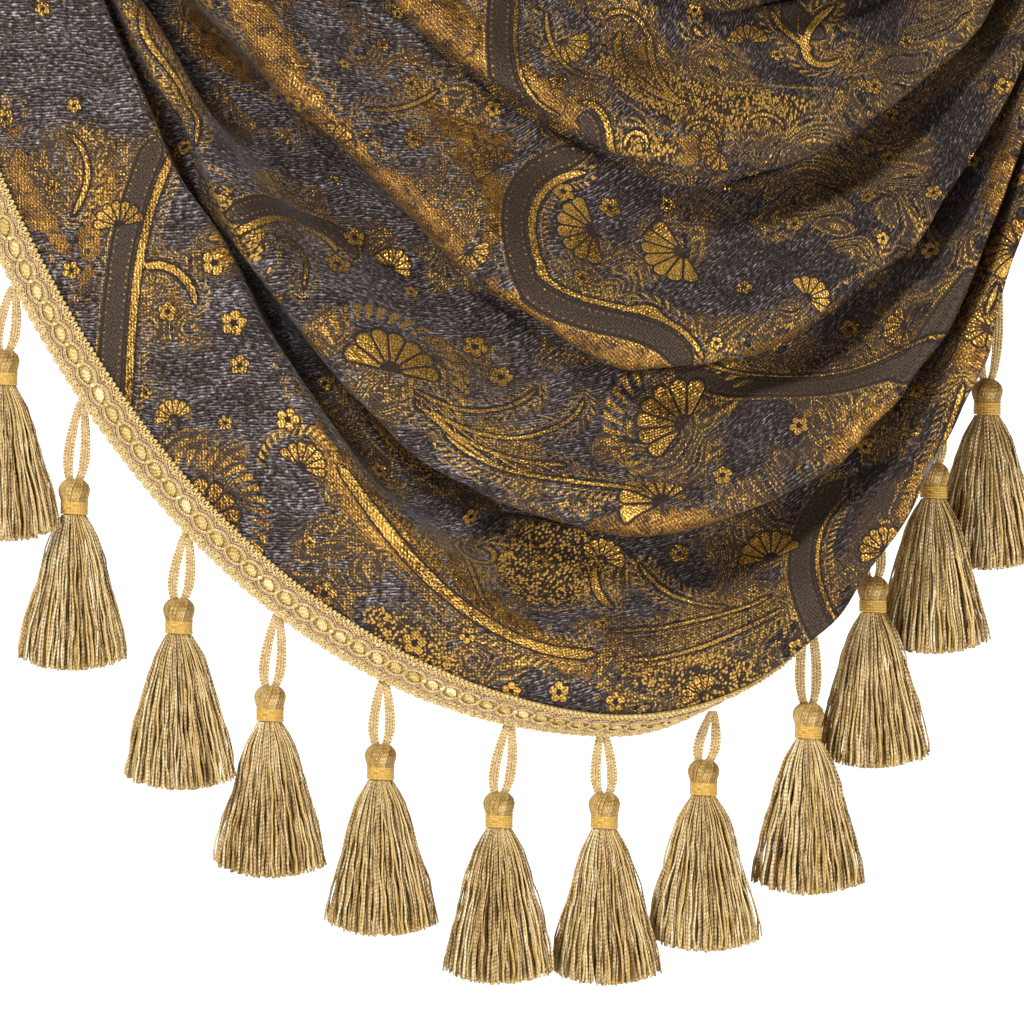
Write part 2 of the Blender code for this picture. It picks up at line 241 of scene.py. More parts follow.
# %% Lights
Lamp = namedtuple("Lamp", "name x y z size watts")
LAMPS = [
    Lamp("key", -1.15, -1.5, 1.1, 0.45, 45),
    Lamp("side", 1.4, -0.9, -0.6, 0.35, 16),
    Lamp("low", -0.8, -1.0, -0.9, 0.4, 6),
]
LAMP_AIM = Vector((0, 0, -0.3))
WORLD_GLOW = 0.04
for lamp in LAMPS:
    light = bpy.data.lights.new(lamp.name, "AREA")
    light.size = lamp.size
    light.energy = lamp.watts
    holder = bpy.data.objects.new(lamp.name, light)
    holder.location = (lamp.x, lamp.y, lamp.z)
    aim = LAMP_AIM - holder.location
    holder.rotation_euler = aim.to_track_quat("-Z", "Y").to_euler()
    bpy.context.scene.collection.objects.link(holder)
world = bpy.data.worlds.new("studio")
world.use_nodes = True
background = world.node_tree.nodes["Background"].inputs
background["Color"].default_value = linear("#FFFFFF")
background["Strength"].default_value = WORLD_GLOW
bpy.context.scene.world = world
print("lamps:", [lamp.name for lamp in LAMPS])

# %% Floor and sweep
STAGE_FLOOR = -1.1
STAGE_BACK = 6.5
STAGE_HALF = 8.0
SWEEP_GLOW = 1.0                # the sweep is lit evenly from behind, as a light table is
FLOOR_GLOW = 0.08
PULP_GRAIN = 900.0


def paper(name, glow):
    """Matt white studio paper, with the faint cloudiness of its pulp."""
    tree, shader, made = new_material(name, 0.9, Emission_Color=linear("#FFFFFF"), Emission_Strength=glow)
    pulp = add(tree, "TexNoise", None, PULP_GRAIN)
    tint = add(tree, "Mix", pulp, linear("#F2F2F0"), linear("#FFFFFF"), data_type="RGBA")
    tree.links.new(tint, shader.inputs["Base Color"])
    return made


floor = mesh_piece("floor", [(x, y, STAGE_FLOOR) for x, y in ((-STAGE_HALF, -STAGE_HALF),
                   (STAGE_HALF, -STAGE_HALF), (STAGE_HALF, STAGE_BACK), (-STAGE_HALF, STAGE_BACK))],
                   [(0, 1, 2, 3)], paper("matt_floor_paper", FLOOR_GLOW))
sweep = mesh_piece("sweep", [(x, STAGE_BACK, z) for x, z in ((-STAGE_HALF, STAGE_FLOOR),
                   (STAGE_HALF, STAGE_FLOOR), (STAGE_HALF, STAGE_HALF), (-STAGE_HALF, STAGE_HALF))],
                   [(0, 1, 2, 3)], paper("lit_sweep_paper", SWEEP_GLOW))
print("floor at", STAGE_FLOOR, "m, sweep", STAGE_BACK, "m behind")

# %% [markdown]
# ## The folds of the swag
#
# A swag's folds are nested curves that hang from its two corners, each lower and fuller than the one above.
# They could be simulated, but the hand of the person who dressed them is in their place and size, so here
# each fold is drawn. A row of the table is one fold's ridge: two smooth curves that meet at its low point.
# It leaves its corner at lean degrees from straight down, and pull and reach are the lengths of the curves'
# handles. stand_off is how far the ridge stands forward. Between two ridges the cloth turns back, tucks
# under and comes forward again, which a sine-generated curve does as softly as heavy cloth.

# %% Fold table
Fold = namedtuple("Fold", "left_x left_lean left_pull low_x low_z left_reach right_reach "
                          "right_pull right_lean right_x stand_off")
FOLDS = [
    # left_x  lean  pull  low_x  low_z  reach reach  pull  lean right_x stand_off
    Fold(-138,  90,   50,    14,    -2,    50,   50,   50,   90,    160,         0),  # heading
    Fold(-146,  60,   34,    84,   -84,    60,   60,   50,   30,    168,        17),
    Fold(-155,  53,   34,    76,  -156,    45,   75,  107,    8,    175,        25),
    Fold(-165,  28,  129,    67,  -217,    49,   45,  160,  -14,    182,        31),
    Fold(-178,   9,  117,    43,  -281,    33,  101,  164,   -7,    189,        35),
    Fold(-190,  22,   80,    43,  -334,   130,   96,  216,    0,    196,        37),
    Fold(-204,  25,  127,    44,  -390,   105,  117,  163,    5,    208,        37),  # last ridge
    Fold(-220,  -2,  174,    37,  -402,   162,   84,  183,   -5,    191,        37),  # hem
]
STATIONS = (0.20, 0.38, 0.48, 0.80)
Valley = namedtuple("Valley", "after before first_rows second_rows")
VALLEYS = [
    # degrees turned after the upper ridge and before the lower one, at the stations; mesh rows on each bend
    Valley((15, 17, 18, 18), (25, 28, 28, 28), 4, 12),
    Valley((80, 98, 110, 124), (38, 34, 34, 34), 6, 16),
    Valley((84, 100, 112, 128), (38, 34, 34, 34), 12, 40),
    Valley((94, 114, 120, 134), (42, 38, 36, 36), 12, 40),
    Valley((82, 106, 122, 136), (110, 52, 37, 36), 12, 36),
    Valley((74, 96, 122, 138), (106, 100, 46, 36), 14, 34),
]
GATHER_TURNS = (42, 42)         # the same at both corners
LIP_CRISPNESS = 0.66            # below 1, the cloth turns back soon after the ridge
SIDE_SPREAD = 0.75
HEM_BEHIND = (4, 5, 8, 15)
LAST_TURN_REACH = (12, 12, 9, 13)
HEM_BEHIND_CORNERS = (3, 9)
LAST_TURN_REACH_CORNERS = (4, 4)
CLOTH_THICKNESS = 1.5
GIMP_WIDTH = 12.7
GIMP_ON_CLOTH = 10.0
LEAST_PANEL_SHARE = 0.7
FOLD_POINTS = 200               # on half of a ridge, before the mesh's columns are picked
CURVE_STEPS = 240               # on a bend, before the mesh's rows are picked
TURNED_UNDER = 0.2              # a row that runs down by less of its length than this has turned under
print("folds:", len(FOLDS), "from", FOLDS[0].low_z, "to", FOLDS[-1].low_z, "mm")

# %% Curves of the folds
def fold_half(corner_x, lean, pull, low, reach, side, shares):
    """Points at these shares of the way from an upper corner to the fold's lowest point."""
    tilt = np.radians(lean)
    start = np.array([corner_x, 0.0])
    leave = start + pull * np.array([-side * np.sin(tilt), -np.cos(tilt)])
    arrive = np.array([low[0] + side * reach, low[1]])
    curve = bezier(start, leave, arrive, np.array(low, float), np.linspace(0, 1, FOLD_POINTS)[:, None])
    length = length_along(curve)
    return at_length(shares * length[-1], length, curve)


def fold_line(fold, columns):
    low = (fold.low_x, fold.low_z)
    left = columns <= 0.5
    return np.concatenate([
        fold_half(fold.left_x, fold.left_lean, fold.left_pull, low, fold.left_reach, -1,
                  2 * columns[left]),
        fold_half(fold.right_x, fold.right_lean, fold.right_pull, low, fold.right_reach, 1,
                  2 - 2 * columns[~left])])


def along(columns, values, corners):
    """A value at each column, eased between the corners' two values and those at the stations."""
    stations = np.array([0.0, *STATIONS, 1.0])
    levels = np.array([corners[0], *values, corners[1]], float)
    place = np.searchsorted(stations, columns, side="right").clip(1, len(stations) - 1)
    share = ease((columns - stations[place - 1]) / (stations[place] - stations[place - 1]))
    return levels[place - 1] * (1 - share) + levels[place] * share


def fold_section(after, before, first_rows, second_rows):
    """Advance and depth of the cloth from one ridge to the next, which lie 1 apart."""
    t = (np.arange(CURVE_STEPS) + 0.5) / CURVE_STEPS
    early_wave, half_wave = np.sin(np.pi * t ** LIP_CRISPNESS)[:, None], np.sin(np.pi * t)[:, None]
    angles = (np.radians(after)[None] * early_wave, -np.radians(before)[None] * half_wave)
    back, forward = (np.abs(np.sin(angle).mean(axis=0)) for angle in angles)
    first = forward / (back + forward)
    shares = (first, 1 - first)
    advance, depth = (np.concatenate([wave(angle) * share / CURVE_STEPS
                                      for angle, share in zip(angles, shares)]) for wave in (np.cos, np.sin))
    total = advance.sum(axis=0)
    zero = np.zeros((1, len(after)))
    advance = np.concatenate([zero, np.cumsum(advance, axis=0)]) / total
    depth = np.concatenate([zero, np.cumsum(depth, axis=0)]) / total
    # the crease between the two bends is one row, so the second bend's rows start just past it
    picked = np.concatenate([np.linspace(0, CURVE_STEPS, first_rows + 1),
                             np.linspace(CURVE_STEPS + 2, 2 * CURVE_STEPS, second_rows + 1)])
    picked = np.round(picked).astype(int)
    return advance[picked], depth[picked]


def last_panel(columns, lines, fronts, panel_rows, braid_rows):
    """Rows from the last ridge to the hem, and the height of the braid's inner edge on it."""
    run = unit(lines[-2] - lines[-3])
    still = np.zeros(len(columns))
    ridge = np.column_stack([lines[-2][:, 0], fronts[-2], lines[-2][:, 1]])
    behind = fronts[-1] + along(columns, HEM_BEHIND, HEM_BEHIND_CORNERS)
    hem = np.column_stack([lines[-1][:, 0], behind, lines[-1][:, 1]])
    onward = np.column_stack([run[:, 0], still, run[:, 1]])
    leave = ridge + onward * along(columns, LAST_TURN_REACH, LAST_TURN_REACH_CORNERS)[:, None]
    arrive = hem + (ridge - hem) / 3
    curve = bezier(ridge, leave, arrive, hem, np.linspace(0, 1, CURVE_STEPS + 1)[:, None, None])
    pieces = np.linalg.norm(np.diff(curve, axis=0), axis=2)
    to_hem = np.concatenate([np.cumsum(pieces[::-1], axis=0)[::-1], np.zeros((1, len(columns)))])
    under_braid = np.minimum(GIMP_ON_CLOTH, LEAST_PANEL_SHARE * to_hem[0])
    shares = np.linspace(1, 0, panel_rows + 1)[:, None]
    targets = np.concatenate([under_braid + shares * (to_hem[0] - under_braid),
                              under_braid * np.linspace(1, 0, braid_rows + 1)[1:, None]])
    return np.stack([at_length(-targets[:, column], -to_hem[:, column], curve[:, column])
                     for column in range(len(columns))], axis=1)


def swag_surface(columns, panel_rows, braid_rows):
    """The middle of the cloth, the rows of its ridges, and which way is down at each row, seen in front."""
    lines = np.array([fold_line(fold, columns) for fold in FOLDS])
    spread = np.sin(np.pi * columns) ** SIDE_SPREAD
    fronts = np.array([-fold.stand_off * spread for fold in FOLDS])
    rows, downs, ridges = [], [], []
    for upper, valley in enumerate(VALLEYS):
        ridges.append(len(rows))
        advance, depth = fold_section(along(columns, valley.after, GATHER_TURNS),
                                      along(columns, valley.before, GATHER_TURNS),
                                      valley.first_rows, valley.second_rows)
        step = lines[upper + 1] - lines[upper]
        apart = np.linalg.norm(step, axis=1)
        shares = ease(np.clip(advance, 0, 1))
        for forward, back, share in zip(advance[:-1], depth[:-1], shares[:-1]):
            level = lines[upper] + step * forward[:, None]
            front = fronts[upper] * (1 - share) + fronts[upper + 1] * share
            rows.append(np.column_stack([level[:, 0], front + back * apart, level[:, 1]]))
            downs.append(step / apart[:, None])
    ridges.append(len(rows))
    rows.extend(last_panel(columns, lines, fronts, panel_rows, braid_rows))
    surface = np.array(rows)
    for row in range(ridges[-1], len(surface) - 1):
        move = (surface[row + 1] - surface[row])[:, [0, 2]]
        length = np.linalg.norm(surface[row + 1] - surface[row], axis=1)
        under = (move * downs[ridges[-1] - 1]).sum(axis=1) < TURNED_UNDER * length
        downs.append(unit(np.where(under[:, None], downs[-1], move)))
    return surface, ridges, np.array(downs)


def flatten(surface, ridges, downs):
    """Flat coordinates of the pattern, and the number of the fold that each row belongs to.

    They are true to the front view along a fold's ridge, and to length away from it. Each fold has its own,
    from the crease above it to the crease below.
    """
    flat = surface[:, :, [0, 2]]
    fold_of_row = np.zeros(len(surface), int)
    lengths = np.linalg.norm(np.diff(surface, axis=0), axis=2)[:, :, None]
    creases = [ridge + valley.first_rows + 1 for ridge, valley in zip(ridges, VALLEYS)]
    for fold, (ridge, above, below) in enumerate(zip(ridges, [0] + creases, creases + [len(surface)])):
        fold_of_row[above:below] = fold
        for row in range(ridge, below - 1):
            flat[row + 1] = flat[row] + downs[row] * lengths[row]
        for row in range(ridge - 1, above - 1, -1):
            flat[row] = flat[row + 1] - downs[row] * lengths[row]
    return flat, fold_of_row


def surface_normals(surface):
    """Unit normals of a grid of points, towards the cloth's face."""
    return unit(np.cross(np.gradient(surface, axis=0), np.gradient(surface, axis=1)))


FINE_FROM, FINE_TO = 0.17, 0.82     # between these the columns lie close, and coarse towards the corners
COLUMNS = np.concatenate([np.linspace(0, FINE_FROM, 14, endpoint=False),
                          np.linspace(FINE_FROM, FINE_TO, 264, endpoint=False),
                          np.linspace(FINE_TO, 1, 14)])
PANEL_ROWS = 40
BRAID_ROWS = 4
surface, ridges, downs = swag_surface(COLUMNS, PANEL_ROWS, BRAID_ROWS)
flat, fold_of_row = flatten(surface, ridges, downs)
print("grid of the cloth:", surface.shape[:2], "lowest point, mm:", round(surface[:, :, 2].min(), 1))

# %% [markdown]
# ## The cloth itself
#
# Chenille jacquard is soft and heavy, so besides its main folds it has slow swells and a few long, shallow
# creases where the hand has pulled it. They are added along the cloth's own normals: swells as a sum of
# seeded waves, creases as rows of a table. The sheet is then closed with a coarser back, since the wrong side
# carries no detail, and with a rim.

# %% Creases and swells
Crease = namedtuple("Crease", "x0 z0 x1 z1 width depth")
CREASES = [
    Crease(-113, -203, -127, -277, 9, -2.4),
    Crease(-43, -239, 18, -279, 4, -2.6),
    Crease(-60, -215, 5, -262, 6, 1.6),
    Crease(-90, -240, -60, -300, 12, 1.0),
    Crease(-30, -214, 10, -246, 10, -1.2),
    Crease(20, -176, 70, -196, 12, -1.3),
    Crease(60, -262, 110, -246, 12, 1.2),
    Crease(0, -302, 60, -316, 12, -1.3),
    Crease(40, -352, 90, -348, 12, -1.5),
    Crease(105, -320, 130, -285, 10, 1.4),
]
SWELL_SEED = 7
SWELLS = 14
SWELL_LENGTHS = (22, 70)        # mm
SWELL_HEIGHT = 0.22
CREASE_NEAR = 5                 # mm around a crease's end in which the cloth's foremost point is taken
CREASE_ENDS = 4                 # how soon a crease fades at its ends
CALM_AT_HEM = 14                # how soon creases and swells fade there
CALM_AT_HEADING = 8


def front_place(x, z):
    """Row and column of the foremost point of the cloth at x, z, seen from the front."""
    near = np.hypot(surface[:, :, 0] - x, surface[:, :, 2] - z) < CREASE_NEAR
    depth = np.where(near, surface[:, :, 1], np.inf)
    return np.unravel_index(np.argmin(depth), depth.shape)


def crease_field():
    height = np.zeros(surface.shape[:2])
    for crease in CREASES:
        row, column = front_place(crease.x0, crease.z0)
        start = flat[row, column]
        run = flat[front_place(crease.x1, crease.z1)] - start
        same_fold = (fold_of_row == fold_of_row[row])[:, None]
        length = np.linalg.norm(run)
        off = flat - start
        share = (off @ run) / length ** 2
        across = (off @ np.array([-run[1], run[0]])) / length
        ends = np.clip(np.minimum(share, 1 - share) * CREASE_ENDS + 0.5, 0, 1)
        height += same_fold * crease.depth * np.exp(-(across / crease.width) ** 2) * ease(ends)
    return height


def swell_field(rng):
    height = np.zeros(surface.shape[:2])
    for _ in range(SWELLS):
        heading, phase = rng.uniform(0, 2 * np.pi, 2)
        length = rng.uniform(*SWELL_LENGTHS)
        wave = flat @ direction(heading) * 2 * np.pi / length
        height += SWELL_HEIGHT * length / SWELL_LENGTHS[1] * 2 * np.sin(wave + phase)
    return height


rng = np.random.default_rng(SWELL_SEED)
near_hem = np.linspace(0, 1, surface.shape[0])[:, None]
calm = np.clip((1 - near_hem) * CALM_AT_HEM, 0, 1) * np.clip(near_hem * CALM_AT_HEADING, 0, 1)
surface = surface + surface_normals(surface) * ((crease_field() + swell_field(rng)) * calm)[:, :, None]
normals = surface_normals(surface)
print("creases:", len(CREASES), "swells:", SWELLS)

# %% Close the sheet with a back and a rim
BACK_STEP = 3
BACK_ROWS = 4
CREASE_REACH = 5                # rows on each side of a crease that the back keeps, so that it never shows
crease_rows = [ridge + valley.first_rows for ridge, valley in zip(ridges, VALLEYS)]
last_row = len(surface) - 1
kept_rows = [row for row in range(last_row + 1) if row % BACK_ROWS == 0 or row == last_row
             or min(abs(row - crease) for crease in crease_rows) <= CREASE_REACH]
kept_columns = list(range(0, surface.shape[1], BACK_STEP))
BEHIND = np.ix_(kept_rows, kept_columns)


def grid_faces(rows, columns, first=0):
    row, column = np.meshgrid(np.arange(rows - 1), np.arange(columns - 1), indexing="ij")
    a = (first + row * columns + column).ravel()
    return np.column_stack([a, a + columns, a + columns + 1, a + 1])


def rim_faces(fine, coarse, kept, reverse=False):
    """Triangles between an edge of the face and the same edge of the coarser back."""
    if reverse:
        fine, coarse, kept = fine[::-1], coarse[::-1], [kept[-1] - spot for spot in reversed(kept)]
    faces = []
    for j, (here, there) in enumerate(zip(kept[:-1], kept[1:])):
        faces += [(fine[spot + 1], fine[spot], coarse[j]) for spot in range(here, there)]
        faces.append((coarse[j + 1], fine[there], coarse[j]))
    return faces


half = CLOTH_THICKNESS / 2
back = (surface - normals * half)[BEHIND]
front = surface + normals * half
front_index = np.arange(front.shape[0] * front.shape[1]).reshape(front.shape[:2])
back_index = front_index.size + np.arange(back.shape[0] * back.shape[1]).reshape(back.shape[:2])
faces = grid_faces(*front.shape[:2]).tolist()
faces += grid_faces(*back.shape[:2], first=front_index.size)[:, ::-1].tolist()
faces += rim_faces(front_index[0], back_index[0], kept_columns)
faces += rim_faces(front_index[-1], back_index[-1], kept_columns, reverse=True)
faces += rim_faces(front_index[:, 0], back_index[:, 0], kept_rows, reverse=True)
faces += rim_faces(front_index[:, -1], back_index[:, -1], kept_rows)
points = np.concatenate([front.reshape(-1, 3), back.reshape(-1, 3)]) * MM
swag = mesh_piece("swag_cloth_sheet", points, faces)
quads = (front.shape[0] - 1) * (front.shape[1] - 1)
print("cloth:", len(points), "points,", quads, "quads on its face")

# %% [markdown]
# ## The braid
#
# The trim's heading is a scroll gimp, 13 mm wide: a narrow woven ground, two doubled cords of dull pink that
# cross and cross back, plump bundles of satin floss in the eyes between them, a fine stitched inner edge, and
# loops of floss along the outer one. Each of these is a yarn on a path, so each is swept as a thin tube along
# the hem. Place on the braid is given by three numbers: how far along, how far across from its inner edge,
# and how high over the cloth.

# %% Place on the braid, and a tube swept along a path
PILE = 0.45                     # mm of chenille between the cloth and the braid
GIMP_LIFT = CLOTH_THICKNESS / 2 + PILE
inner_edge = surface[-1 - BRAID_ROWS]
hem_line = surface[-1]
past_hem = unit(surface[-1] - surface[-2])
outer_edge = hem_line + past_hem * (GIMP_WIDTH - GIMP_ON_CLOTH)
middle = surface[-1 - BRAID_ROWS // 2]
braid_lines = np.array([inner_edge, middle, hem_line, outer_edge])
braid_normals = np.array([normals[-1 - BRAID_ROWS], normals[-1 - BRAID_ROWS // 2], normals[-1], normals[-1]])
BRAID_STOPS = np.array([0, GIMP_ON_CLOTH / 2, GIMP_ON_CLOTH, GIMP_WIDTH])
braid_length = length_along(hem_line)
BRAID_END = braid_length[-1]


def on_braid(distance, across, height):
    """Points in millimetres, at these places on the braid."""
    lines = [at_length(distance, braid_length, line) for line in (*braid_lines, *braid_normals)]
    spot = np.clip(np.searchsorted(BRAID_STOPS, across, side="right") - 1, 0, 2)
    share = ((across - BRAID_STOPS[spot]) / np.diff(BRAID_STOPS)[spot])[:, None]
    pick = np.arange(len(distance))
    edges, up = np.array(lines[:4]), np.array(lines[4:])
    place = edges[spot, pick] * (1 - share) + edges[spot + 1, pick] * share
    normal = up[spot, pick] * (1 - share) + up[spot + 1, pick] * share
    return place + normal * (GIMP_LIFT + np.asarray(height))[..., None]


def tubes(paths, radius, sides, up, flatten=1.0, closed=False):
    """Points, faces and yarn coordinates of equal tubes along paths (count, steps, 3), in millimetres."""
    count, steps = paths.shape[:2]
    if closed:
        run = np.roll(paths, -1, axis=1) - np.roll(paths, 1, axis=1)
    else:
        run = np.gradient(paths, axis=1)
    run = unit(run)
    side = unit(np.cross(run, np.broadcast_to(up, paths.shape)))
    top = np.cross(side, run)
    radius = np.broadcast_to(radius, (count, steps))[..., None, None]
    angles = (np.arange(sides) * 2 * np.pi / sides)[None, None, :, None]
    ring = (paths[:, :, None] + radius * (np.cos(angles) * side[:, :, None]
                                          + np.sin(angles) * flatten * top[:, :, None]))
    index = np.arange(count * steps * sides).reshape(count, steps, sides)
    after = np.roll(index, -1, axis=2)
    if closed:
        here, there = index, np.roll(index, -1, axis=1)
        here2, there2 = after, np.roll(after, -1, axis=1)
    else:
        here, there, here2, there2 = index[:, :-1], index[:, 1:], after[:, :-1], after[:, 1:]
    faces = np.stack([here, here2, there2, there], axis=-1).reshape(-1, 4)
    yarn = np.stack([np.broadcast_to(np.arange(sides) / sides, index.shape),
                     np.broadcast_to(length_along(paths)[:, :, None], index.shape),
                     np.broadcast_to(np.arange(count)[:, None, None], index.shape)], axis=-1)
    return ring.reshape(-1, 3), faces, yarn.reshape(-1, 3)


def joined(parts):
    """Several sets of points, faces and yarn coordinates as one."""
    points, faces, yarns, first = [], [], [], 0
    for some_points, some_faces, some_yarn in parts:
        points.append(some_points)
        faces.append(some_faces + first)
        yarns.append(some_yarn)
        first += len(some_points)
    return np.concatenate(points), np.concatenate(faces), np.concatenate(yarns)


def trim_piece(name, points, faces, yarn, material, node, slot):
    """A piece of the trim, which carries its yarn coordinates: turn, length and number of the yarn."""
    piece = mesh_piece(name, points * MM, faces, material)
    write_numbers(piece.data, "yarn", yarn)
    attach(piece, "root")
    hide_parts(node)
    return piece


def yarn_piece(name, parts, material, node, slot):
    """A piece of the trim made of tubes."""
    return trim_piece(name, *joined(parts), material, node, slot)


print("braid length, mm:", round(BRAID_END))

# %% [markdown]
# ### Threads of the trim
#
# The trim is viscose rayon, spun bright: smooth filament fibres that lie along the yarn and shine across it.
# Its yarns are two-ply, so light breaks into short slanting dashes along each; these dashes are painted into
# the colour as highlights. One recipe gives them all: painted highlights along slanting ply lines from the
# yarn's own turn and length, painted highlight streaks along each yarn, a slow change of shade from yarn to
# yarn, and a normal that follows the plies. Only the values in the table differ.

# %% Rayon yarn material
Look = namedtuple("Look", "name dark mid light pitch roughness own_share sheen ply_share tint groups")
LOOKS = [
    # name; its three colours; mm of yarn in one dash; roughness; how much a yarn's own shade counts against
    # its painted highlight streaks; sheen; how much the plies' painted highlights count; the colour of some
    # yarns;
    # how far neighbours share a shade
    Look("gimp_rayon_gold", "#A58442", "#D3B26A", "#F8E6AC", 1.10, 0.34, 0.4, 0.1, 0.30, None, 0.0),
    Look("gimp_rayon_bright", "#AC863E", "#E0BA68", "#FFF2C4", 1.20, 0.26, 0.4, 0.1, 0.30, None, 0.0),
    Look("gimp_cord_pink", "#8C6448", "#CBA17C", "#EED2B0", 0.90, 0.50, 0.3, 0.2, 0.30, None, 0.0),
    Look("gimp_ground_olive", "#8A7238", "#B39650", "#D6BC78", 1.35, 0.55, 0.5, 0.1, 0.30, None, 0.0),
    Look("tassel_rayon", "#7E5C2C", "#D2AE70", "#FFF3C8", 1.35, 0.30, 0.5, 0.1, 0.26, "#E0B75C", 0.6),
    Look("tassel_head_rayon", "#664820", "#B48C48", "#E8CE8C", 1.35, 0.36, 0.5, 0.1, 0.26, "#BE9440", 0.6),
    Look("tassel_neck_rayon", "#B4862E", "#D9AC4E", "#EBC26C", 1.00, 0.45, 0.2, 0.1, 0.10, None, 0.0),
    Look("tassel_loop_edge_rayon", "#94702E", "#D8B05C", "#FCE8AC", 1.20, 0.40, 0.3, 0.1, 0.60, None, 0.0),
    Look("tassel_loop_core_rayon", "#9A7646", "#CDA872", "#ECD3A4", 0.90, 0.50, 0.4, 0.1, 0.30, None, 0.0),
]


def rayon(look):
    """Two-ply bright rayon."""
    tree, shader, made = new_material(look.name, look.roughness, Sheen_Weight=look.sheen,
                                      Sheen_Roughness=0.35)
    known = {}
    read_field(tree, known, "yarn", "turn", "length", "number")
    recipe(tree, known, [
        ("dashes", "DIVIDE", "length", look.pitch),
        ("own", "TexWhiteNoise", "number"),
        ("spiral", "ADD", ("MULTIPLY_ADD", "own", 9.0, "dashes"), "turn"),
        # painted highlights: the plies are lighter and the twist between them darker, in slanting dashes
        ("ply", "MULTIPLY_ADD", ("SINE", ("MULTIPLY", "spiral", 2 * np.pi)), 0.5, 0.5),
        # painted highlights: long lighter streaks along each yarn
        ("streak", "TexNoise", ("CombineXYZ", "dashes", "number", 0.0), 0.42, 2.0),
        ("uneven", "Mix.FLOAT", look.own_share, ("Rise", "streak", 0.3, 0.7), "own"),
        ("lit", "Mix.FLOAT", look.ply_share, "uneven", "ply"),
        ("place", "VectorMath.MULTIPLY", add(tree, "TexCoord", out=3), (180.0, 180.0, 14.0)),
        ("grouped", "MULTIPLY_ADD", ("TexNoise", "place", 1.0, 1.0), look.groups, "lit"),
        ("shade", "SUBTRACT", "grouped", look.groups / 2),
    ])
    stops = ((0.15, look.dark), (0.48, look.mid), (0.82, look.light))
    known["colour"] = add(tree, "ValToRGB", known["shade"], stops=stops)
    if look.tint:
        recipe(tree, known, [
            ("other", "TexWhiteNoise", ("ADD", "number", 0.37)),
            ("tinted", "MapRange", "other", 0.55, 0.75, 0.0, 0.65),
            ("colour", "Mix.RGBA", "tinted", "colour", look.tint),
        ])
    tree.links.new(known["colour"], shader.inputs["Base Color"])
    bump = add(tree, "Bump", 0.5, 0.0003, None, known["ply"])
    tree.links.new(bump, shader.inputs["Normal"])
    return made


(gimp_gold, gimp_bright, gimp_pink, gimp_olive,
 silk, head_silk, band, loop_edge, loop_core) = [rayon(look) for look in LOOKS]
print("yarns of the trim:", len(LOOKS))

# %% Ground of the gimp: a flat woven tape
TAPE_STEP = 1.6                 # mm along the hem
TAPE_THICKNESS = 0.9
TAPE_TURN = 3.0                 # mm across the tape that stand for one turn of its yarn
TAPE_ACROSS = ((0.3, 0.0), (3.0, 0.0), (6.3, 0.0), (9.6, 0.0), (11.0, 0.0),
               (11.0, 0.75), (9.6, 1.0), (6.3, 1.0), (3.0, 1.0), (0.3, 0.8))
along_hem = np.linspace(0, BRAID_END, int(BRAID_END / TAPE_STEP))
ring = np.array([on_braid(along_hem, np.full(len(along_hem), across), TAPE_THICKNESS * share)
                 for across, share in TAPE_ACROSS])
around, steps = ring.shape[:2]
index = np.arange(around * steps).reshape(around, steps)
after = np.roll(index, -1, axis=0)
faces = np.stack([index[:, :-1], after[:, :-1], after[:, 1:], index[:, 1:]], axis=-1).reshape(-1, 4).tolist()
faces += [index[:, 0].tolist(), index[::-1, -1].tolist()]
tape_turn = np.array([across for across, _ in TAPE_ACROSS])[:, None] / TAPE_TURN
tape_yarn = np.stack([np.broadcast_to(tape_turn, index.shape), np.broadcast_to(along_hem, index.shape),
                      np.zeros(index.shape)], axis=-1)
trim_piece("gimp_ground", ring.reshape(-1, 3), faces, tape_yarn, gimp_olive, "gimp_braid", "gimp")
print("tape sections:", steps)


# %% Cords, bundles and edges of the gimp
def hem_tube(distance, across, height, radius, sides, flatten=1.0):
    """A tube along a path on the braid."""
    path = on_braid(distance, across, height)[None]
    up = on_braid(distance, across, height + 1.0)[None] - path
    return tubes(path, radius, sides, up, flatten)


# the scroll is eased in where the hem curves: place of the hem, and the length of a scroll there
SCROLL_EASE = ((-150, 8.1), (-60, 7.3), (0, 6.1), (130, 6.6))
WAVE_SWING = 0.85
CORD_LANES = (3.7, 9.0)         # across the braid
CORD_RADIUS = 0.25
CORD_SIDES = 5
DOUBLE = 0.40                   # half the distance between the two cords of a pair
CORD_HEIGHT = 0.55              # over the tape, where they cross
CORD_RISE = 0.25
SCALLOP_ROUND = 0.8             # below 1, the cord's bows are rounder than a sine's
LINING_BESIDE = 1.0             # a gold yarn lines each pair, so far beside and below it
LINING_BELOW = 0.15
LINING_RADIUS = 0.38
SCROLL_MARGIN = 0.2             # of a scroll, left free at both ends of the braid
pitch_there = np.interp(hem_line[:, 0], *zip(*SCROLL_EASE))
scrolls = np.concatenate([[0], np.cumsum(np.diff(braid_length) * 2 / (pitch_there[1:] + pitch_there[:-1]))])


def hem_steps(per_scroll, steps_each):
    """Distances along the hem for repeats of which so many fit a scroll, and the repeat's phase there."""
    steps = int(scrolls[-1] * per_scroll * steps_each)
    turns = np.linspace(SCROLL_MARGIN, scrolls[-1] - SCROLL_MARGIN, steps)
    return np.interp(turns, scrolls, braid_length), turns * per_scroll * 2 * np.pi


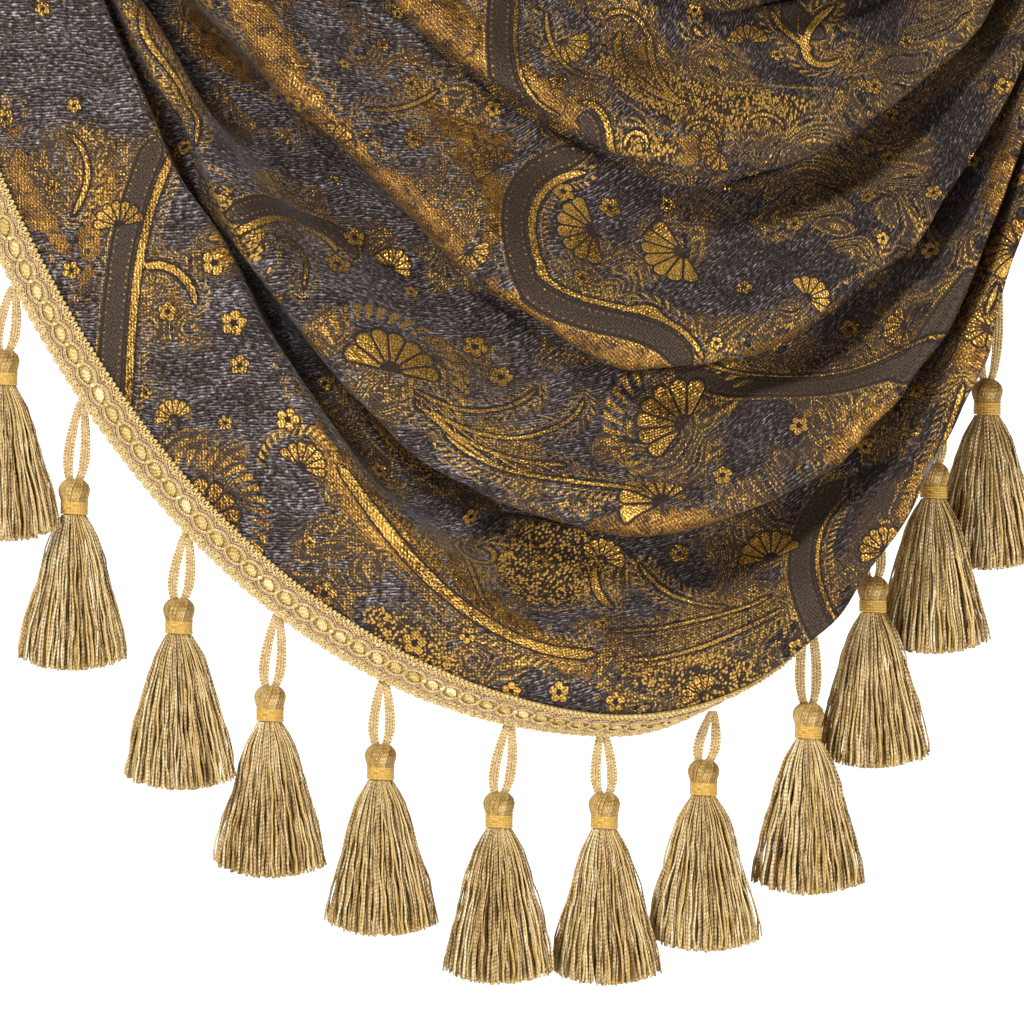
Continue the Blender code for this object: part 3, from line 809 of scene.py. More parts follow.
distance, phase = hem_steps(1, 14)
scallop = 2 * np.abs(np.sin(phase / 2)) ** SCALLOP_ROUND - 1
pink_parts, lining = [], []
for lane, side in zip(CORD_LANES, (-1, 1)):
    across = lane + side * WAVE_SWING * scallop
    height = TAPE_THICKNESS + CORD_HEIGHT + CORD_RISE * scallop
    pink_parts += [hem_tube(distance, across + pair, height, CORD_RADIUS, CORD_SIDES)
                   for pair in (-DOUBLE, DOUBLE)]
    lining.append(hem_tube(distance, across - side * LINING_BESIDE, height - LINING_BELOW, LINING_RADIUS,
                           CORD_SIDES))
pink = yarn_piece("gimp_scroll_cords", pink_parts, gimp_pink, "gimp_braid", "gimp")

EdgeYarn = namedtuple("EdgeYarn", "repeats steps back across swing swing_turn height rise_turn radius sides")
PICOTS = [
    # repeats in a scroll, steps in one; mm that it loops back; mm across, swing and its turn in degrees;
    # mm over the tape, the rise's turn in degrees; yarn's radius and sides
    EdgeYarn(2, 12, 1.25, 11.3, 1.45, -90, -0.20, 0, 0.52, 6),
    EdgeYarn(2, 12, 0.55, 11.0, 0.65, -90, -0.10, 90, 0.50, 5),
    EdgeYarn(4, 7, 0.0, 10.4, 0.30, 90, 0.20, 0, 0.42, 5),
]
INNER_EDGE = [
    EdgeYarn(4, 7, 0.0, 0.85, 0.85, 0, 0.15, 90, 0.42, 5),
    EdgeYarn(4, 7, 0.0, 2.20, 0.40, 0, 0.10, 90, 0.40, 5),
]
EDGE_RISE = 0.2


def edge_tube(yarn):
    distance, phase = hem_steps(yarn.repeats, yarn.steps)
    swing = yarn.swing * np.sin(phase + np.radians(yarn.swing_turn))
    rise = EDGE_RISE * np.sin(phase + np.radians(yarn.rise_turn))
    return hem_tube(distance - yarn.back * np.sin(phase), yarn.across + swing,
                    TAPE_THICKNESS + yarn.height + rise, yarn.radius, yarn.sides)


yarn_piece("gimp_picot_edge", [edge_tube(yarn) for yarn in PICOTS] + lining, gimp_gold, "gimp_braid", "gimp")
yarn_piece("gimp_inner_edge", [edge_tube(yarn) for yarn in INNER_EDGE], gimp_bright, "gimp_braid", "gimp")
print("scroll cords:", len(pink.data.polygons), "faces")

# %% Satin bundles in the eyes of the scroll
EYE_MIDDLE = sum(CORD_LANES) / 2
Bundle = namedtuple("Bundle", "lane shift length slant radius")
BUNDLES = [
    # lane, share of the pitch to shift it by, length across, lean along the hem for each mm across
    Bundle(EYE_MIDDLE, 0.40, 3.2, 0.60, 0.44),
    Bundle(EYE_MIDDLE, 0.50, 3.8, 0.60, 0.52),
    Bundle(EYE_MIDDLE, 0.60, 3.2, 0.60, 0.44),
    Bundle(EYE_MIDDLE, 0.70, 2.4, 0.60, 0.36),
    Bundle(EYE_MIDDLE, 0.30, 2.4, 0.60, 0.36),
    Bundle(EYE_MIDDLE, 0.00, 2.0, -0.30, 0.60),
]
BUNDLE_STEPS = 6
BUNDLE_SIDES = 6
BUNDLE_BLUNT = 0.94             # at 1 a bundle would end in a point
BUNDLE_HEIGHT = 0.6
BUNDLE_FLATTEN = 0.7
FLOSS_END = 0.05                # what is left of a bundle's height and radius at its ends
share = np.linspace(-0.5, 0.5, BUNDLE_STEPS)
plump = np.sqrt(1 - (2 * share * BUNDLE_BLUNT) ** 2)
repeats = np.arange(1, int(scrolls[-1]) - 1)
floss = []
for bundle in BUNDLES:
    across = np.tile(bundle.lane + share * bundle.length, len(repeats))
    spot = (np.repeat(np.interp(repeats + bundle.shift, scrolls, braid_length), len(share))
            + np.tile(share * bundle.length * bundle.slant, len(repeats)))
    height = TAPE_THICKNESS + FLOSS_END + BUNDLE_HEIGHT * np.tile(plump, len(repeats))
    path = on_braid(spot, across, height).reshape(len(repeats), len(share), 3)
    up = on_braid(spot, across, height + 1.0).reshape(len(repeats), len(share), 3) - path
    floss.append(tubes(path, bundle.radius * plump[None] + FLOSS_END, BUNDLE_SIDES, up, BUNDLE_FLATTEN))
yarn_piece("gimp_satin_bundles", floss, gimp_bright, "gimp_braid", "gimp")
print("bundles:", len(BUNDLES) * len(repeats))

# %% [markdown]
# ## The tassels
#
# A tassel is a bundle of cut yarn tied over a cord. Its head is the bundle's fold, its neck a wound band,
# and its skirt hangs free, opening quickly under the band and then slowly. It hangs from the hem on a loop of
# flat cord. Particles or hair would need grooming for twelve heads of yarn, so each yarn here is a path from
# the neck to its own place in an oval at the bottom, spread by the widths that a skirt takes as it falls.

# %% Tassel places and sizes
Tassel = namedtuple("Tassel", "head_x head_z loop_shift behind over lean width")
TASSELS = [
    # head_x   head_z shift behind over   the skirt's lean in mm, and its share of the usual width
    Tassel(-166.7, -276.7, 3.0, -1.0, None, 0.5, 1.00),
    Tassel(-143.3, -319.7, 2.5, 1.5, None, -0.6, 0.99),
    Tassel(-108.3, -359.3, 2.5, 0.0, None, 0.6, 1.00),
    Tassel(-78.0, -388.3, 2.5, 0.0, None, 0.2, 1.00),
    Tassel(-41.3, -407.7, 1.0, 0.0, None, 0.6, 1.00),
    Tassel(-2.0, -423.7, 3.5, 0.0, None, 0.0, 0.98),
    Tassel(33.0, -424.0, -0.5, 0.0, None, 0.8, 0.97),
    Tassel(66.0, -413.0, 3.0, 0.0, 2.5, 0.2, 1.00),
    Tassel(101.0, -394.3, 0.0, 0.0, 1.5, 0.0, 1.00),
    Tassel(122.7, -352.3, 0.0, 1.0, 1.5, 0.4, 0.98),
    Tassel(143.3, -314.3, 0.0, 3.0, 1.7, -0.2, 0.98),
    Tassel(161.7, -286.3, 2.0, 6.0, 1.9, 0.0, 0.98),
]
TASSEL_SEED = 21
SEAM_GAP = 0.8
GIMP_THICKNESS = 1.8
OUTER_CROWN = 0.7
CORD_WIDTH = 2.2
CORD_THICKNESS = 1.5
LOOP_BOW = 2.0
LOOP_CLOSE = 0.75               # how near its legs come to the middle at both ends
LOOP_LOW = 0.65
LOOP_WIDTHS = ((0, 0.3, 0.65, 1), (0.75, 1.25, 1.1, 0.65))     # share of the way up, and of the cord's width
LOOP_CREST = 1.2
HEAD_HEIGHT = 7.0
HEAD_YARNS = 46
HEAD_SWIRL = 0.9                # radians that a strand turns as it runs in to the top
NECK_WRAPS = 5
NECK_YARN = 0.5
NECK_RADIUS = 4.65
HEAD_PROFILE = ((-0.6, 1.0), (-0.4, 2.2), (-1.0, 3.4), (-2.1, 4.4), (-3.5, 4.85), (-4.9, 4.7),
                (-6.1, 4.3), (-7.1, 4.0), (-8.0, 3.9))     # level and radius of a strand over the head
NECK_HEIGHT = 5.0
SKIRT_LENGTH = 51.3
SKIRT_HALF_WIDTH = 19.8
SKIRT_HALF_DEPTH = 7.0
SKIRT_DOME = 4.5
SKIRT_START = 0.7               # the yarns leave the neck so far inside its radius
SKIRT_YAW = np.radians(-16)
SPREAD = ((0, 0.14, 0.30, 0.46, 0.67, 0.88, 1.0),      # share of the way down
          (0, 0.27, 0.45, 0.585, 0.79, 0.955, 1.0))    # share of the full spread there
YARNS = 300
YARN_STEPS = 14
YARN_RADIUS = 0.42
YARN_TAPER = (0.8, 1.1)         # of that radius, at a yarn's top and at its end
YARN_SHARES = np.linspace(0, 1, YARN_STEPS)
GOLDEN_ANGLE = 2.39996          # from one yarn's place to the next one's, which fills the oval evenly
ANGLE_JITTER = 0.05
CUT_JITTER = (-0.9, 0.7)        # mm by which a yarn is cut short or long
SPREAD_JITTER = (0.9, 1.12)
YARN_WAVES = (1.5, 3.2, 6.0)    # waves along a yarn
WAVE_SIZES = ((0, 0.75), (1, 0.55))     # axis, and the mm that one long wave would have
WAVE_SHARES = (0.2, 1.0)        # least and most of that size
WAVE_FALL = 0.8                 # how fast waves lose size as they get shorter
HELD = 3                        # over the first third of a yarn the band keeps its waves small
STRAND_JITTER = 0.03
STRAND_RADIUS = 0.46
NECK_YARN_RADIUS = 0.54
SKIRT_SIDES, STRAND_SIDES, NECK_SIDES, CORE_SIDES, LOOP_SIDES = 3, 5, 6, 14, 6      # of their tubes
CORE_LEVELS = (-0.9, -2.0, -3.6, -5.4, -7.0, -9.0, -11.9, -15.0)
CORE_RADII = (1.6, 3.3, 4.3, 4.4, 3.7, 3.6, 3.5, 3.5)
LOOP_FOOT = -1.4                # where the loop ends, in its head
LOOP_STEPS = 15
LOOP_YARNS = (                  # across the cord, out from it, and radius
    (-1.05, 0.0, 0.44), (-0.38, -0.1, 0.56), (0.38, -0.1, 0.56), (1.05, 0.0, 0.44))


def seam_at(x, over):
    """The middle of a loop's crest where the hem crosses x."""
    if over is None:
        half_size = np.array([LOOP_CREST + CORD_WIDTH / 2, CORD_THICKNESS / 2, CORD_WIDTH / 2])
        clear = SEAM_GAP + np.abs(past_hem) @ half_size
        seam = hem_line + past_hem * clear[:, None]
    else:
        seam = outer_edge + normals[-1] * (GIMP_LIFT + GIMP_THICKNESS * OUTER_CROWN + over)
    return np.array([np.interp(x, seam[:, 0], seam[:, axis]) for axis in range(3)])


def skirt(rng, lean, width):
    """Paths of the skirt's yarns, from the neck down. The neck's foot is at 0."""
    place = np.sqrt((np.arange(YARNS) + 0.5) / YARNS)
    angle = np.arange(YARNS) * GOLDEN_ANGLE + rng.normal(0, ANGLE_JITTER, YARNS)
    end = direction(angle) * place[:, None] * [SKIRT_HALF_WIDTH * width, SKIRT_HALF_DEPTH]
    start = direction(angle) * (place * (NECK_RADIUS - SKIRT_START))[:, None]
    dome = SKIRT_DOME * (end[:, 0] / SKIRT_HALF_WIDTH) ** 2
    drop = SKIRT_LENGTH - dome + rng.uniform(*CUT_JITTER, YARNS)
    spread = np.interp(YARN_SHARES, *SPREAD)
    spread = spread[None] ** rng.uniform(*SPREAD_JITTER, YARNS)[:, None]
    paths = np.zeros((YARNS, YARN_STEPS, 3))
    paths[:, :, :2] = start[:, None] + (end - start)[:, None] * spread[:, :, None]
    paths[:, :, 2] = -drop[:, None] * YARN_SHARES
    paths[:, :, 0] += lean * YARN_SHARES ** 2
    held = np.minimum(HELD * YARN_SHARES, 1)
    for axis, most in WAVE_SIZES:
        for waves in YARN_WAVES:
            phase = rng.uniform(0, 2 * np.pi, YARNS)[:, None]
            size = rng.uniform(*WAVE_SHARES, YARNS)[:, None] * most / waves ** WAVE_FALL
            paths[:, :, axis] += size * np.sin(2 * np.pi * waves * YARN_SHARES + phase) * held
    return paths


def head_yarns(rng):
    """Paths from the swirl on the head's top down to the neck, and each strand's sideways direction."""
    level, radius = np.array(HEAD_PROFILE).T
    start = np.arange(HEAD_YARNS) * 2 * np.pi / HEAD_YARNS + rng.normal(0, STRAND_JITTER, HEAD_YARNS)
    swirl = HEAD_SWIRL * np.linspace(1, 0, len(level)) ** 2
    angle = start[:, None] + swirl[None]
    paths = np.stack([np.cos(angle) * radius, np.sin(angle) * radius, np.broadcast_to(level, angle.shape)],
                     axis=-1)
    return paths, np.column_stack([-np.sin(start), np.cos(start), 0 * start])[:, None]


def neck_wraps():
    """One yarn wound round the neck."""
    steps = 20 * NECK_WRAPS
    angle = np.linspace(0, NECK_WRAPS * 2 * np.pi, steps)
    level = -HEAD_HEIGHT - NECK_YARN - (NECK_HEIGHT - 2 * NECK_YARN) * np.linspace(0, 1, steps)
    radius = NECK_RADIUS - NECK_YARN
    return np.column_stack([np.cos(angle) * radius, np.sin(angle) * radius, level])[None]


def core(head):
    """The solid heart of the head and the neck, which fills what shows between the yarns."""
    path = np.array([(0.0, 0.0, level) for level in CORE_LEVELS]) + head
    return tubes(path[None], np.array([CORE_RADII]), CORE_SIDES, np.array([0.0, 1.0, 0.0]))


print("tassels:", len(TASSELS), "yarns in each skirt:", YARNS)

# %% Loops, and the tassels themselves
def loop_paths(top):
    """The four yarns of the loop's flat cord, each as a closed path round both legs."""
    foot = np.array([0.0, 0.0, LOOP_FOOT])
    share = np.linspace(0, 1, LOOP_STEPS)
    bow = LOOP_CLOSE + LOOP_BOW * np.sin(np.pi * share ** LOOP_LOW)
    middle = foot + (top - foot) * share[:, None]
    right = middle + np.outer(bow, [1, 0, 0])
    left = middle - np.outer(bow, [1, 0, 0])
    path = np.concatenate([right, left[::-1]])
    run = unit(np.roll(path, -1, axis=0) - np.roll(path, 1, axis=0))
    flat_way = unit(np.cross(top - foot, [1.0, 0, 0]))
    wide = np.interp(share, *LOOP_WIDTHS)
    side = np.cross(run, flat_way) * np.concatenate([wide, wide[::-1]])[:, None]
    return [path + side * across + flat_way * out for across, out, _ in LOOP_YARNS], flat_way


rng = np.random.default_rng(TASSEL_SEED)
turn = np.array(Matrix.Rotation(SKIRT_YAW, 3, "Z"))
front_way = np.array([0.0, -1.0, 0.0])
up_way = np.array([0.0, 0.0, 1.0])
for number, spec in enumerate(TASSELS, start=1):
    seam = seam_at(spec.head_x + spec.loop_shift, spec.over)
    head = np.array([spec.head_x, seam[1] + spec.behind, spec.head_z])
    neck_foot = np.array([0, 0, -HEAD_HEIGHT - NECK_HEIGHT])
    paths = skirt(rng, spec.lean, spec.width) @ turn.T + neck_foot + head
    thin = YARN_RADIUS * np.linspace(*YARN_TAPER, YARN_STEPS)
    strands, sideways = head_yarns(rng)
    cords, flat_way = loop_paths(seam - head)
    loop = [tubes((cord + head)[None], radius, LOOP_SIDES, flat_way, closed=True)
            for cord, (_, _, radius) in zip(cords, LOOP_YARNS)]
    node = f"tassel_{number:02d}"
    for part, tube_sets, material in (
            ("skirt", [tubes(paths, thin[None], SKIRT_SIDES, front_way)], silk),
            ("head", [tubes(strands + head, STRAND_RADIUS, STRAND_SIDES, sideways), core(head)], head_silk),
            ("neck", [tubes(neck_wraps() + head, NECK_YARN_RADIUS, NECK_SIDES, up_way)], band),
            ("loop_edges", [loop[0], loop[3]], loop_edge),
            ("loop_core", loop[1:3], loop_core)):
        yarn_piece(f"{node}_{part}", tube_sets, material, node, "tassel_yarn")
print("yarn faces in one skirt:", YARNS * (YARN_STEPS - 1) * 3)

# %% [markdown]
# ## The woven figure
#
# Paisley is an old family of patterns: bent drops with curled tips, ringed by bands, and between them small
# flowers, shell-shaped fans and rows of commas. This figure is drawn from those parts for this swag.
#
# It could be painted in an image, but then it would be as coarse as the image. Here every motif is a row of
# a table, in flat millimetres on its own fold. What a motif needs is written on the points of the cloth: how
# far a point is from a line, how far along it, or its place within a flower. Such numbers change evenly from
# point to point, so the shader can draw edges from them that are much finer than the mesh.

# %% Lines of the figure
Stroke = namedtuple("Stroke", "fold x z heading length bend_start bend_end half_width band")
STROKES = [
    # fold x    z  heading length bend at start and end, in degrees for each cm; half width; band's width
    Stroke(6, -110, -210, -115,  90,    5,    0, 1.2, -9.0),
    Stroke(6, -120, -250,   30,  25,  -60,  -30, 1.2,  0.0),
    Stroke(5,  -90, -238,   10,  44,   35,  -82, 1.2,  8.0),
    Stroke(4,   30, -210, -175,  55,   30,   10, 1.2, -9.0),
    Stroke(4,   10, -250,  -50,  65,   25,  -30, 0.8, -9.0),
    Stroke(4,   40, -265,   40,  15,  -50,  -90, 1.0,  0.0),
    Stroke(3,    5, -155,  -90,  50,  -10,   40, 0.6, -9.0),
    Stroke(3,   25, -195,    5,  25,  -90,   30, 1.0, -8.0),
    Stroke(3,   90, -155,  -70,  20,   30,    0, 0.8,  8.0),
    Stroke(3,  110, -155, -140,  35,    0,  105, 1.2,  0.0),
    Stroke(6,   30, -340, -100,  20,   30,   20, 1.2,  0.0),
    Stroke(6,  -55, -315,  -55, 110,    0,   10, 1.6,  0.0),
    Stroke(5, -120, -160, -120,  40,   55,  -30, 0.8,  0.0),
    Stroke(5,  -75, -240,   50,  25, -140,   20, 0.6,  0.0),
    Stroke(6,  -15, -335,  -70,  30,  -10,   20, 0.6,  0.0),
    Stroke(3,   15, -160,  -90,  35,    5,   50, 0.6,  0.0),
    Stroke(3,   35, -160,   70,  20, -110,  -40, 0.8,  0.0),
    Stroke(3,   40, -165, -120,  40,   45,   10, 1.2,  0.0),
    Stroke(3,   50, -165, -100,  30,   20,   15, 1.0,  0.0),
    Stroke(3,   65, -160,  -90,   5,  110,  200, 1.2,  0.0),
    Stroke(3,   40, -210,  115,  15, -150, -160, 0.6,  0.0),
    Stroke(3,   60, -205,   95,  20, -130,  -60, 0.6,  0.0),
    Stroke(3,   80, -205,  110,  20, -120,  -60, 0.6,  0.0),
    Stroke(6,   35, -370,   15,  55,   -5,   10, 0.6,  0.0),
    Stroke(6,   40, -380,    5,  55,    5,    5, 0.6,  0.0),
    Stroke(6,   45, -340,  -60,  35,   15,   15, 0.6,  0.0),
    Stroke(5,  135, -290,   50,  45,    5,   -5, 0.6,  8.0),
    Stroke(6,  115, -320, -140,  75,   20,    5, 0.6, -9.0),
    Stroke(5,   60, -272,  -25, 110,    5,    8, 0.4, -8.0),
    Stroke(6,  135, -330,   60,  45,    5,    0, 0.6,  0.0),
    Stroke(6,  160, -265,   70,  10,    0,    0, 0.6,  0.0),
    Stroke(6, -145, -205,  -30,  30,  -50,  -10, 0.8,  0.0),
    Stroke(5, -105, -195,  -10,  15, -140,   20, 0.6,  0.0),
    Stroke(4,  -20, -185, -135,  30,  -10,  -20, 0.6,  0.0),
    Stroke(5,  -30, -290,  -30,  45,   15,   20, 0.6,  0.0),
    Stroke(5,  -30, -295,  -25,  65,    0,   30, 0.6,  0.0),
    Stroke(5,  -30, -295,  -40,  55,    5,   10, 0.6,  0.0),
    Stroke(5,  -20, -305,  -45,  70,   15,   -5, 0.6,  0.0),
    Stroke(5,  -40, -325,  -70,  20,   80,  160, 1.2,  0.0),
    Stroke(6,  -15, -325, -120,  35,   40,  130, 0.8,  0.0),
]
print("lines:", len(STROKES), "over", round(sum(stroke.length for stroke in STROKES)), "mm")

# %% Flowers, fans and patches
Bloom = namedtuple("Bloom", "fold x z radius")
BLOOMS = [
    Bloom(6,  -96, -248, 4.5),
    Bloom(6,  -90, -268, 4.5),
    Bloom(6, -112, -264, 3.5),
    Bloom(6,  -88, -282, 3.5),
    Bloom(5,  -54, -242, 4.5),
    Bloom(5,  -46, -226, 4.0),
    Bloom(4, -104, -188, 3.5),
    Bloom(4,  -70, -196, 4.0),
    Bloom(4,  -30, -206, 3.5),
    Bloom(4,   22, -218, 4.0),
    Bloom(4,   38, -222, 4.0),
    Bloom(4,   26, -252, 3.5),
    Bloom(5,   -8, -266, 4.5),
    Bloom(5,    0, -278, 4.5),
    Bloom(6,  -72, -300, 4.0),
    Bloom(6,  -60, -358, 4.5),
    Bloom(6,  -30, -374, 4.5),
    Bloom(6,    2, -390, 3.5),
    Bloom(6,   18, -390, 3.5),
    Bloom(5,   72, -318, 3.5),
    Bloom(6,   58, -336, 3.5),
    Bloom(5,  114, -264, 3.5),
    Bloom(5,  142, -240, 3.5),
    Bloom(5,   98, -302, 3.5),
    Bloom(6,   12, -338, 3.5),
]
Fan = namedtuple("Fan", "fold x z heading radius commas")
FANS = [
    Fan(5,  -38, -284,   80, 17, True),
    Fan(6, -102, -334,   60, 15, True),
    Fan(4,   32, -232, -170, 14, False),
    Fan(4,   62, -238, -160, 15, False),
    Fan(5,   60, -296,  150, 17, True),
    Fan(6,   88, -340,  100, 11, False),
    Fan(5,  -34, -236,   60,  7, False),
    Fan(5,   52, -328,  120, 15, False),
    Fan(4,    0, -212,  130, 10, False),
    Fan(6,  170, -244,  160, 11, False),
    Fan(3,   82, -166,   90,  7, False),
    Fan(6, -110, -300,  110,  7, False),
    Fan(3,   20, -170,  -60, 10, False),
    Fan(3,   46, -176,  -80,  7, False),
    Fan(4,  100, -260,   40,  8, False),
    Fan(5,  134, -268, -170,  9, False),
    Fan(6,  126, -344,  120,  9, False),
    Fan(4,  -58, -210,   60,  9, False),
    Fan(6, -128, -236,  100,  9, False),
    Fan(6,   66, -392,  140,  8, False),
    Fan(6,  160, -270, -170,  7, False),
    Fan(3,   72, -210, -160,  8, False),
    Fan(6,   32, -338,   60,  8, False),
    Fan(6,  -68, -316,   60,  9, True),
    Fan(4,  -12, -244,  -60,  7, False),
]
SATIN, BROWN, BEADED = range(3)
Patch = namedtuple("Patch", "fold x z heading length width bend kind")
PATCHES = [
    Patch(3,  -20, -170,  -35, 40, 20,  0.0, SATIN),
    Patch(3,  -25, -180,  -40, 30,  8,  0.0, SATIN),
    Patch(3,   10, -193,  -35, 34, 14,  0.0, SATIN),
    Patch(4,  -65, -198,  -48, 55, 17,  0.2, SATIN),
    Patch(4,  -80, -170,  -50, 35, 12,  0.0, SATIN),
    Patch(4, -105, -190,  -65, 40, 16,  0.1, SATIN),
    Patch(4,  -30, -233,  -45, 45, 14, -0.1, SATIN),
    Patch(4,   15, -268,  -30, 40, 11,  0.1, SATIN),
    Patch(4,   40, -278,  -10, 35,  9,  0.1, SATIN),
    Patch(4,  105, -267,   30, 55,  6,  0.1, SATIN),
    Patch(5,   55, -334,    0, 60,  7,  0.0, SATIN),
    Patch(5,  120, -303,   40, 30,  9,  0.0, SATIN),
    Patch(6,  -45, -330,  -50, 60, 10,  0.1, SATIN),
    Patch(6,    5, -368,  -40, 50,  9,  0.1, SATIN),
    Patch(4,   -5, -225,  -80, 35,  8, -0.4, SATIN),
    Patch(4,  -10, -200,  -15, 25, 10,  0.3, SATIN),
    Patch(6, -135, -235,   75, 30,  6,  0.0, SATIN),
    Patch(6, -155, -230,  -60, 40,  7,  0.2, SATIN),
    Patch(6,  160, -275,   65, 25, 14,  0.0, SATIN),
    Patch(5,  -90, -235,  -55, 30, 14,  0.1, BEADED),
    Patch(6,   15, -340,  -80, 35, 36,  0.0, BEADED),
    Patch(6,   65, -385,   -5, 55, 16,  0.0, BEADED),
    Patch(5, -115, -165,    0, 25,  8,  0.0, SATIN),
    Patch(3,  100, -155,    0, 30, 12,  0.0, BROWN),
    Patch(6, -135, -305,  -60, 35,  6,  0.0, SATIN),
    Patch(6,  125, -345,   60, 25,  8,  0.0, BROWN),
    Patch(5,   75, -285,   20, 40,  8,  0.2, BROWN),
    Patch(6,  125, -335,   60, 40, 16,  0.0, BROWN),
    Patch(3,   65, -190,  -15, 75, 20,  0.2, BEADED),
    Patch(5,  165, -220,   85, 25,  8,  0.0, SATIN),
    Patch(3,   45, -210,   -5, 30, 10,  0.0, BEADED),
    Patch(3,   60, -210,  -30, 10, 12,  0.0, SATIN),
    Patch(6,  -30, -375,  -35, 40, 14,  0.0, BEADED),
    Patch(3,   50, -180,  -65, 25,  8,  0.3, SATIN),
    Patch(5,  -35, -335,  -50, 40, 12,  0.0, BEADED),
    Patch(6,  140, -320,   60, 30,  8,  0.0, SATIN),
]
print("flowers:", len(BLOOMS), "fans:", len(FANS), "patches:", len(PATCHES))

# %% Distance from the lines and bands
FAR = 9.0
LINE_STEP = 0.7
LINE_REACH = 7.0
NEAR_LINE = 5.0                 # beyond it a line's width shrinks, so that two lines never blend into a third
BAND_GAP = 0.7                  # between a line and the band beside it
TIP = 6.0                       # length over which a line narrows to its end
TIP_SHARE = 0.35                # of its width, which is left there
WIDTH_LOSS = 3                  # how fast a line's width shrinks beyond NEAR_LINE


def stroke_path(stroke):
    """Lengths, places and headings along a line whose bend changes evenly."""
    s = np.linspace(0, stroke.length, int(stroke.length / LINE_STEP) + 2)
    bend = np.radians(np.linspace(stroke.bend_start, stroke.bend_end, len(s))) / 10
    turn = np.concatenate([[0], np.cumsum((bend[1:] + bend[:-1]) / 2 * np.diff(s))])
    heading = np.radians(stroke.heading) + turn
    moves = np.diff(s)[:, None] * direction(heading)[1:]
    place = np.array([stroke.x, stroke.z]) + np.concatenate([[[0, 0]], np.cumsum(moves, axis=0)])
    return s, place, heading


def in_fold(fold, centre, reach):
    """Rows and columns of the points of one fold within a square round a place."""
    near = (np.abs(flat - centre) < reach).all(axis=2)
    return np.nonzero(near & (fold_of_row == fold)[:, None])


def line_fields():
    """For the nearest line and band: distance across from its middle, length along it, and half width."""
    fields = np.full((2, *flat.shape[:2], 3), [FAR, 0.0, -FAR])
    for stroke in STROKES:
        s, place, heading = stroke_path(stroke)
        centre = (place.max(axis=0) + place.min(axis=0)) / 2
        rows, columns = in_fold(stroke.fold, centre, np.ptp(place, axis=0).max() / 2 + 2 * LINE_REACH)
        off = flat[rows, columns][:, None] - place
        nearest = np.linalg.norm(off, axis=2).argmin(axis=1)
        off = off[np.arange(len(off)), nearest]
        tangent = direction(heading)[nearest]
        ahead = (off * tangent).sum(axis=1)
        beside = tangent[:, 0] * off[:, 1] - tangent[:, 1] * off[:, 0]
        past = np.where((nearest == 0) | (nearest == len(s) - 1), np.abs(ahead), 0)
        to_tip = np.minimum(s[nearest], stroke.length - s[nearest])
        tip = np.clip(to_tip / TIP + TIP_SHARE, TIP_SHARE, 1)
        width = abs(stroke.band)
        choices = [(beside, stroke.half_width * tip)]
        if stroke.band:
            middle = np.sign(stroke.band) * (stroke.half_width + BAND_GAP + width / 2)
            choices.append((beside - middle, width / 2 * tip ** 0.5))
        for field, (across, half_width) in zip(fields, choices):
            loss = WIDTH_LOSS * np.clip(np.abs(across) - NEAR_LINE - half_width, 0, None)
            half_width = half_width - past - loss
            edge = np.abs(across) - half_width
            known = field[rows, columns]
            better = edge < np.minimum(np.abs(known[:, 0]) - known[:, 2], LINE_REACH)
            new = np.column_stack([across, s[nearest] + ahead, np.maximum(half_width, -FAR)])
            field[rows[better], columns[better]] = new[better]
    return fields


line_field, band_field = line_fields()
line_edge = np.abs(line_field[:, :, 0]) - line_field[:, :, 2]
band_edge = np.abs(band_field[:, :, 0]) - band_field[:, :, 2]
print("points near a line:", int((line_edge < 2).sum()), "in a band:", int((band_edge < 0).sum()))

# %% Place in the nearest flower or fan, and distance from the patches
STAMP_SEAM = 1.6
STAMP_MARGIN = 2.4
HALO = 1.75                     # how far a fan's ring of commas reaches, in its radii
BLOOM_TURN = 77                 # degrees from one flower's turn to the next one's
PATCH_BEND_ZERO = 0.4           # square of the place along a bent patch that stays on its axis
PATCH_REACH = 0.75              # of its length, from a patch's middle


def stamp_field(stamps, rims, flags):
    """A point's place in the nearest motif, in radii, and the motif's flag, which is 0 outside motifs."""
    field = np.zeros((*flat.shape[:2], 3))
    best = np.full(flat.shape[:2], 1e3)
    second = best.copy()
    for number, (stamp, rim, flag) in enumerate(zip(stamps, rims, flags)):
        reach = stamp.radius * rim + STAMP_MARGIN
        rows, columns = in_fold(stamp.fold, (stamp.x, stamp.z), reach + STAMP_MARGIN)
        off = flat[rows, columns] - np.array([stamp.x, stamp.z])
        away = np.linalg.norm(off, axis=1) - stamp.radius * rim
        local = np.column_stack(turned(off, getattr(stamp, "heading", BLOOM_TURN * number)))
        known = best[rows, columns]
        second[rows, columns] = np.minimum(second[rows, columns], np.maximum(known, away))
        nearer = away < known
        kept = rows[nearer], columns[nearer]
        best[kept] = away[nearer]
        field[kept] = np.column_stack([local / stamp.radius, np.full(len(off), flag)])[nearer]
    field[:, :, 2][(best > STAMP_MARGIN) | (second - best < STAMP_SEAM)] = 0
    return field, best


def patch_field():
    """Distance from the edge of the nearest patch of each kind."""
    field = np.full((*flat.shape[:2], 3), FAR)
    for patch in PATCHES:
        rows, columns = in_fold(patch.fold, (patch.x, patch.z), patch.length * PATCH_REACH + FAR)
        off = flat[rows, columns] - np.array([patch.x, patch.z])
        along_it, beside_it = turned(off, patch.heading)
        x, y = along_it / (patch.length / 2), beside_it / (patch.width / 2)
        bulge = np.hypot(x, y - patch.bend * patch.length / patch.width * (x * x - PATCH_BEND_ZERO))
        edge = (bulge - 1) * patch.width / 2
        field[rows, columns, patch.kind] = np.minimum(field[rows, columns, patch.kind], edge)
    return field


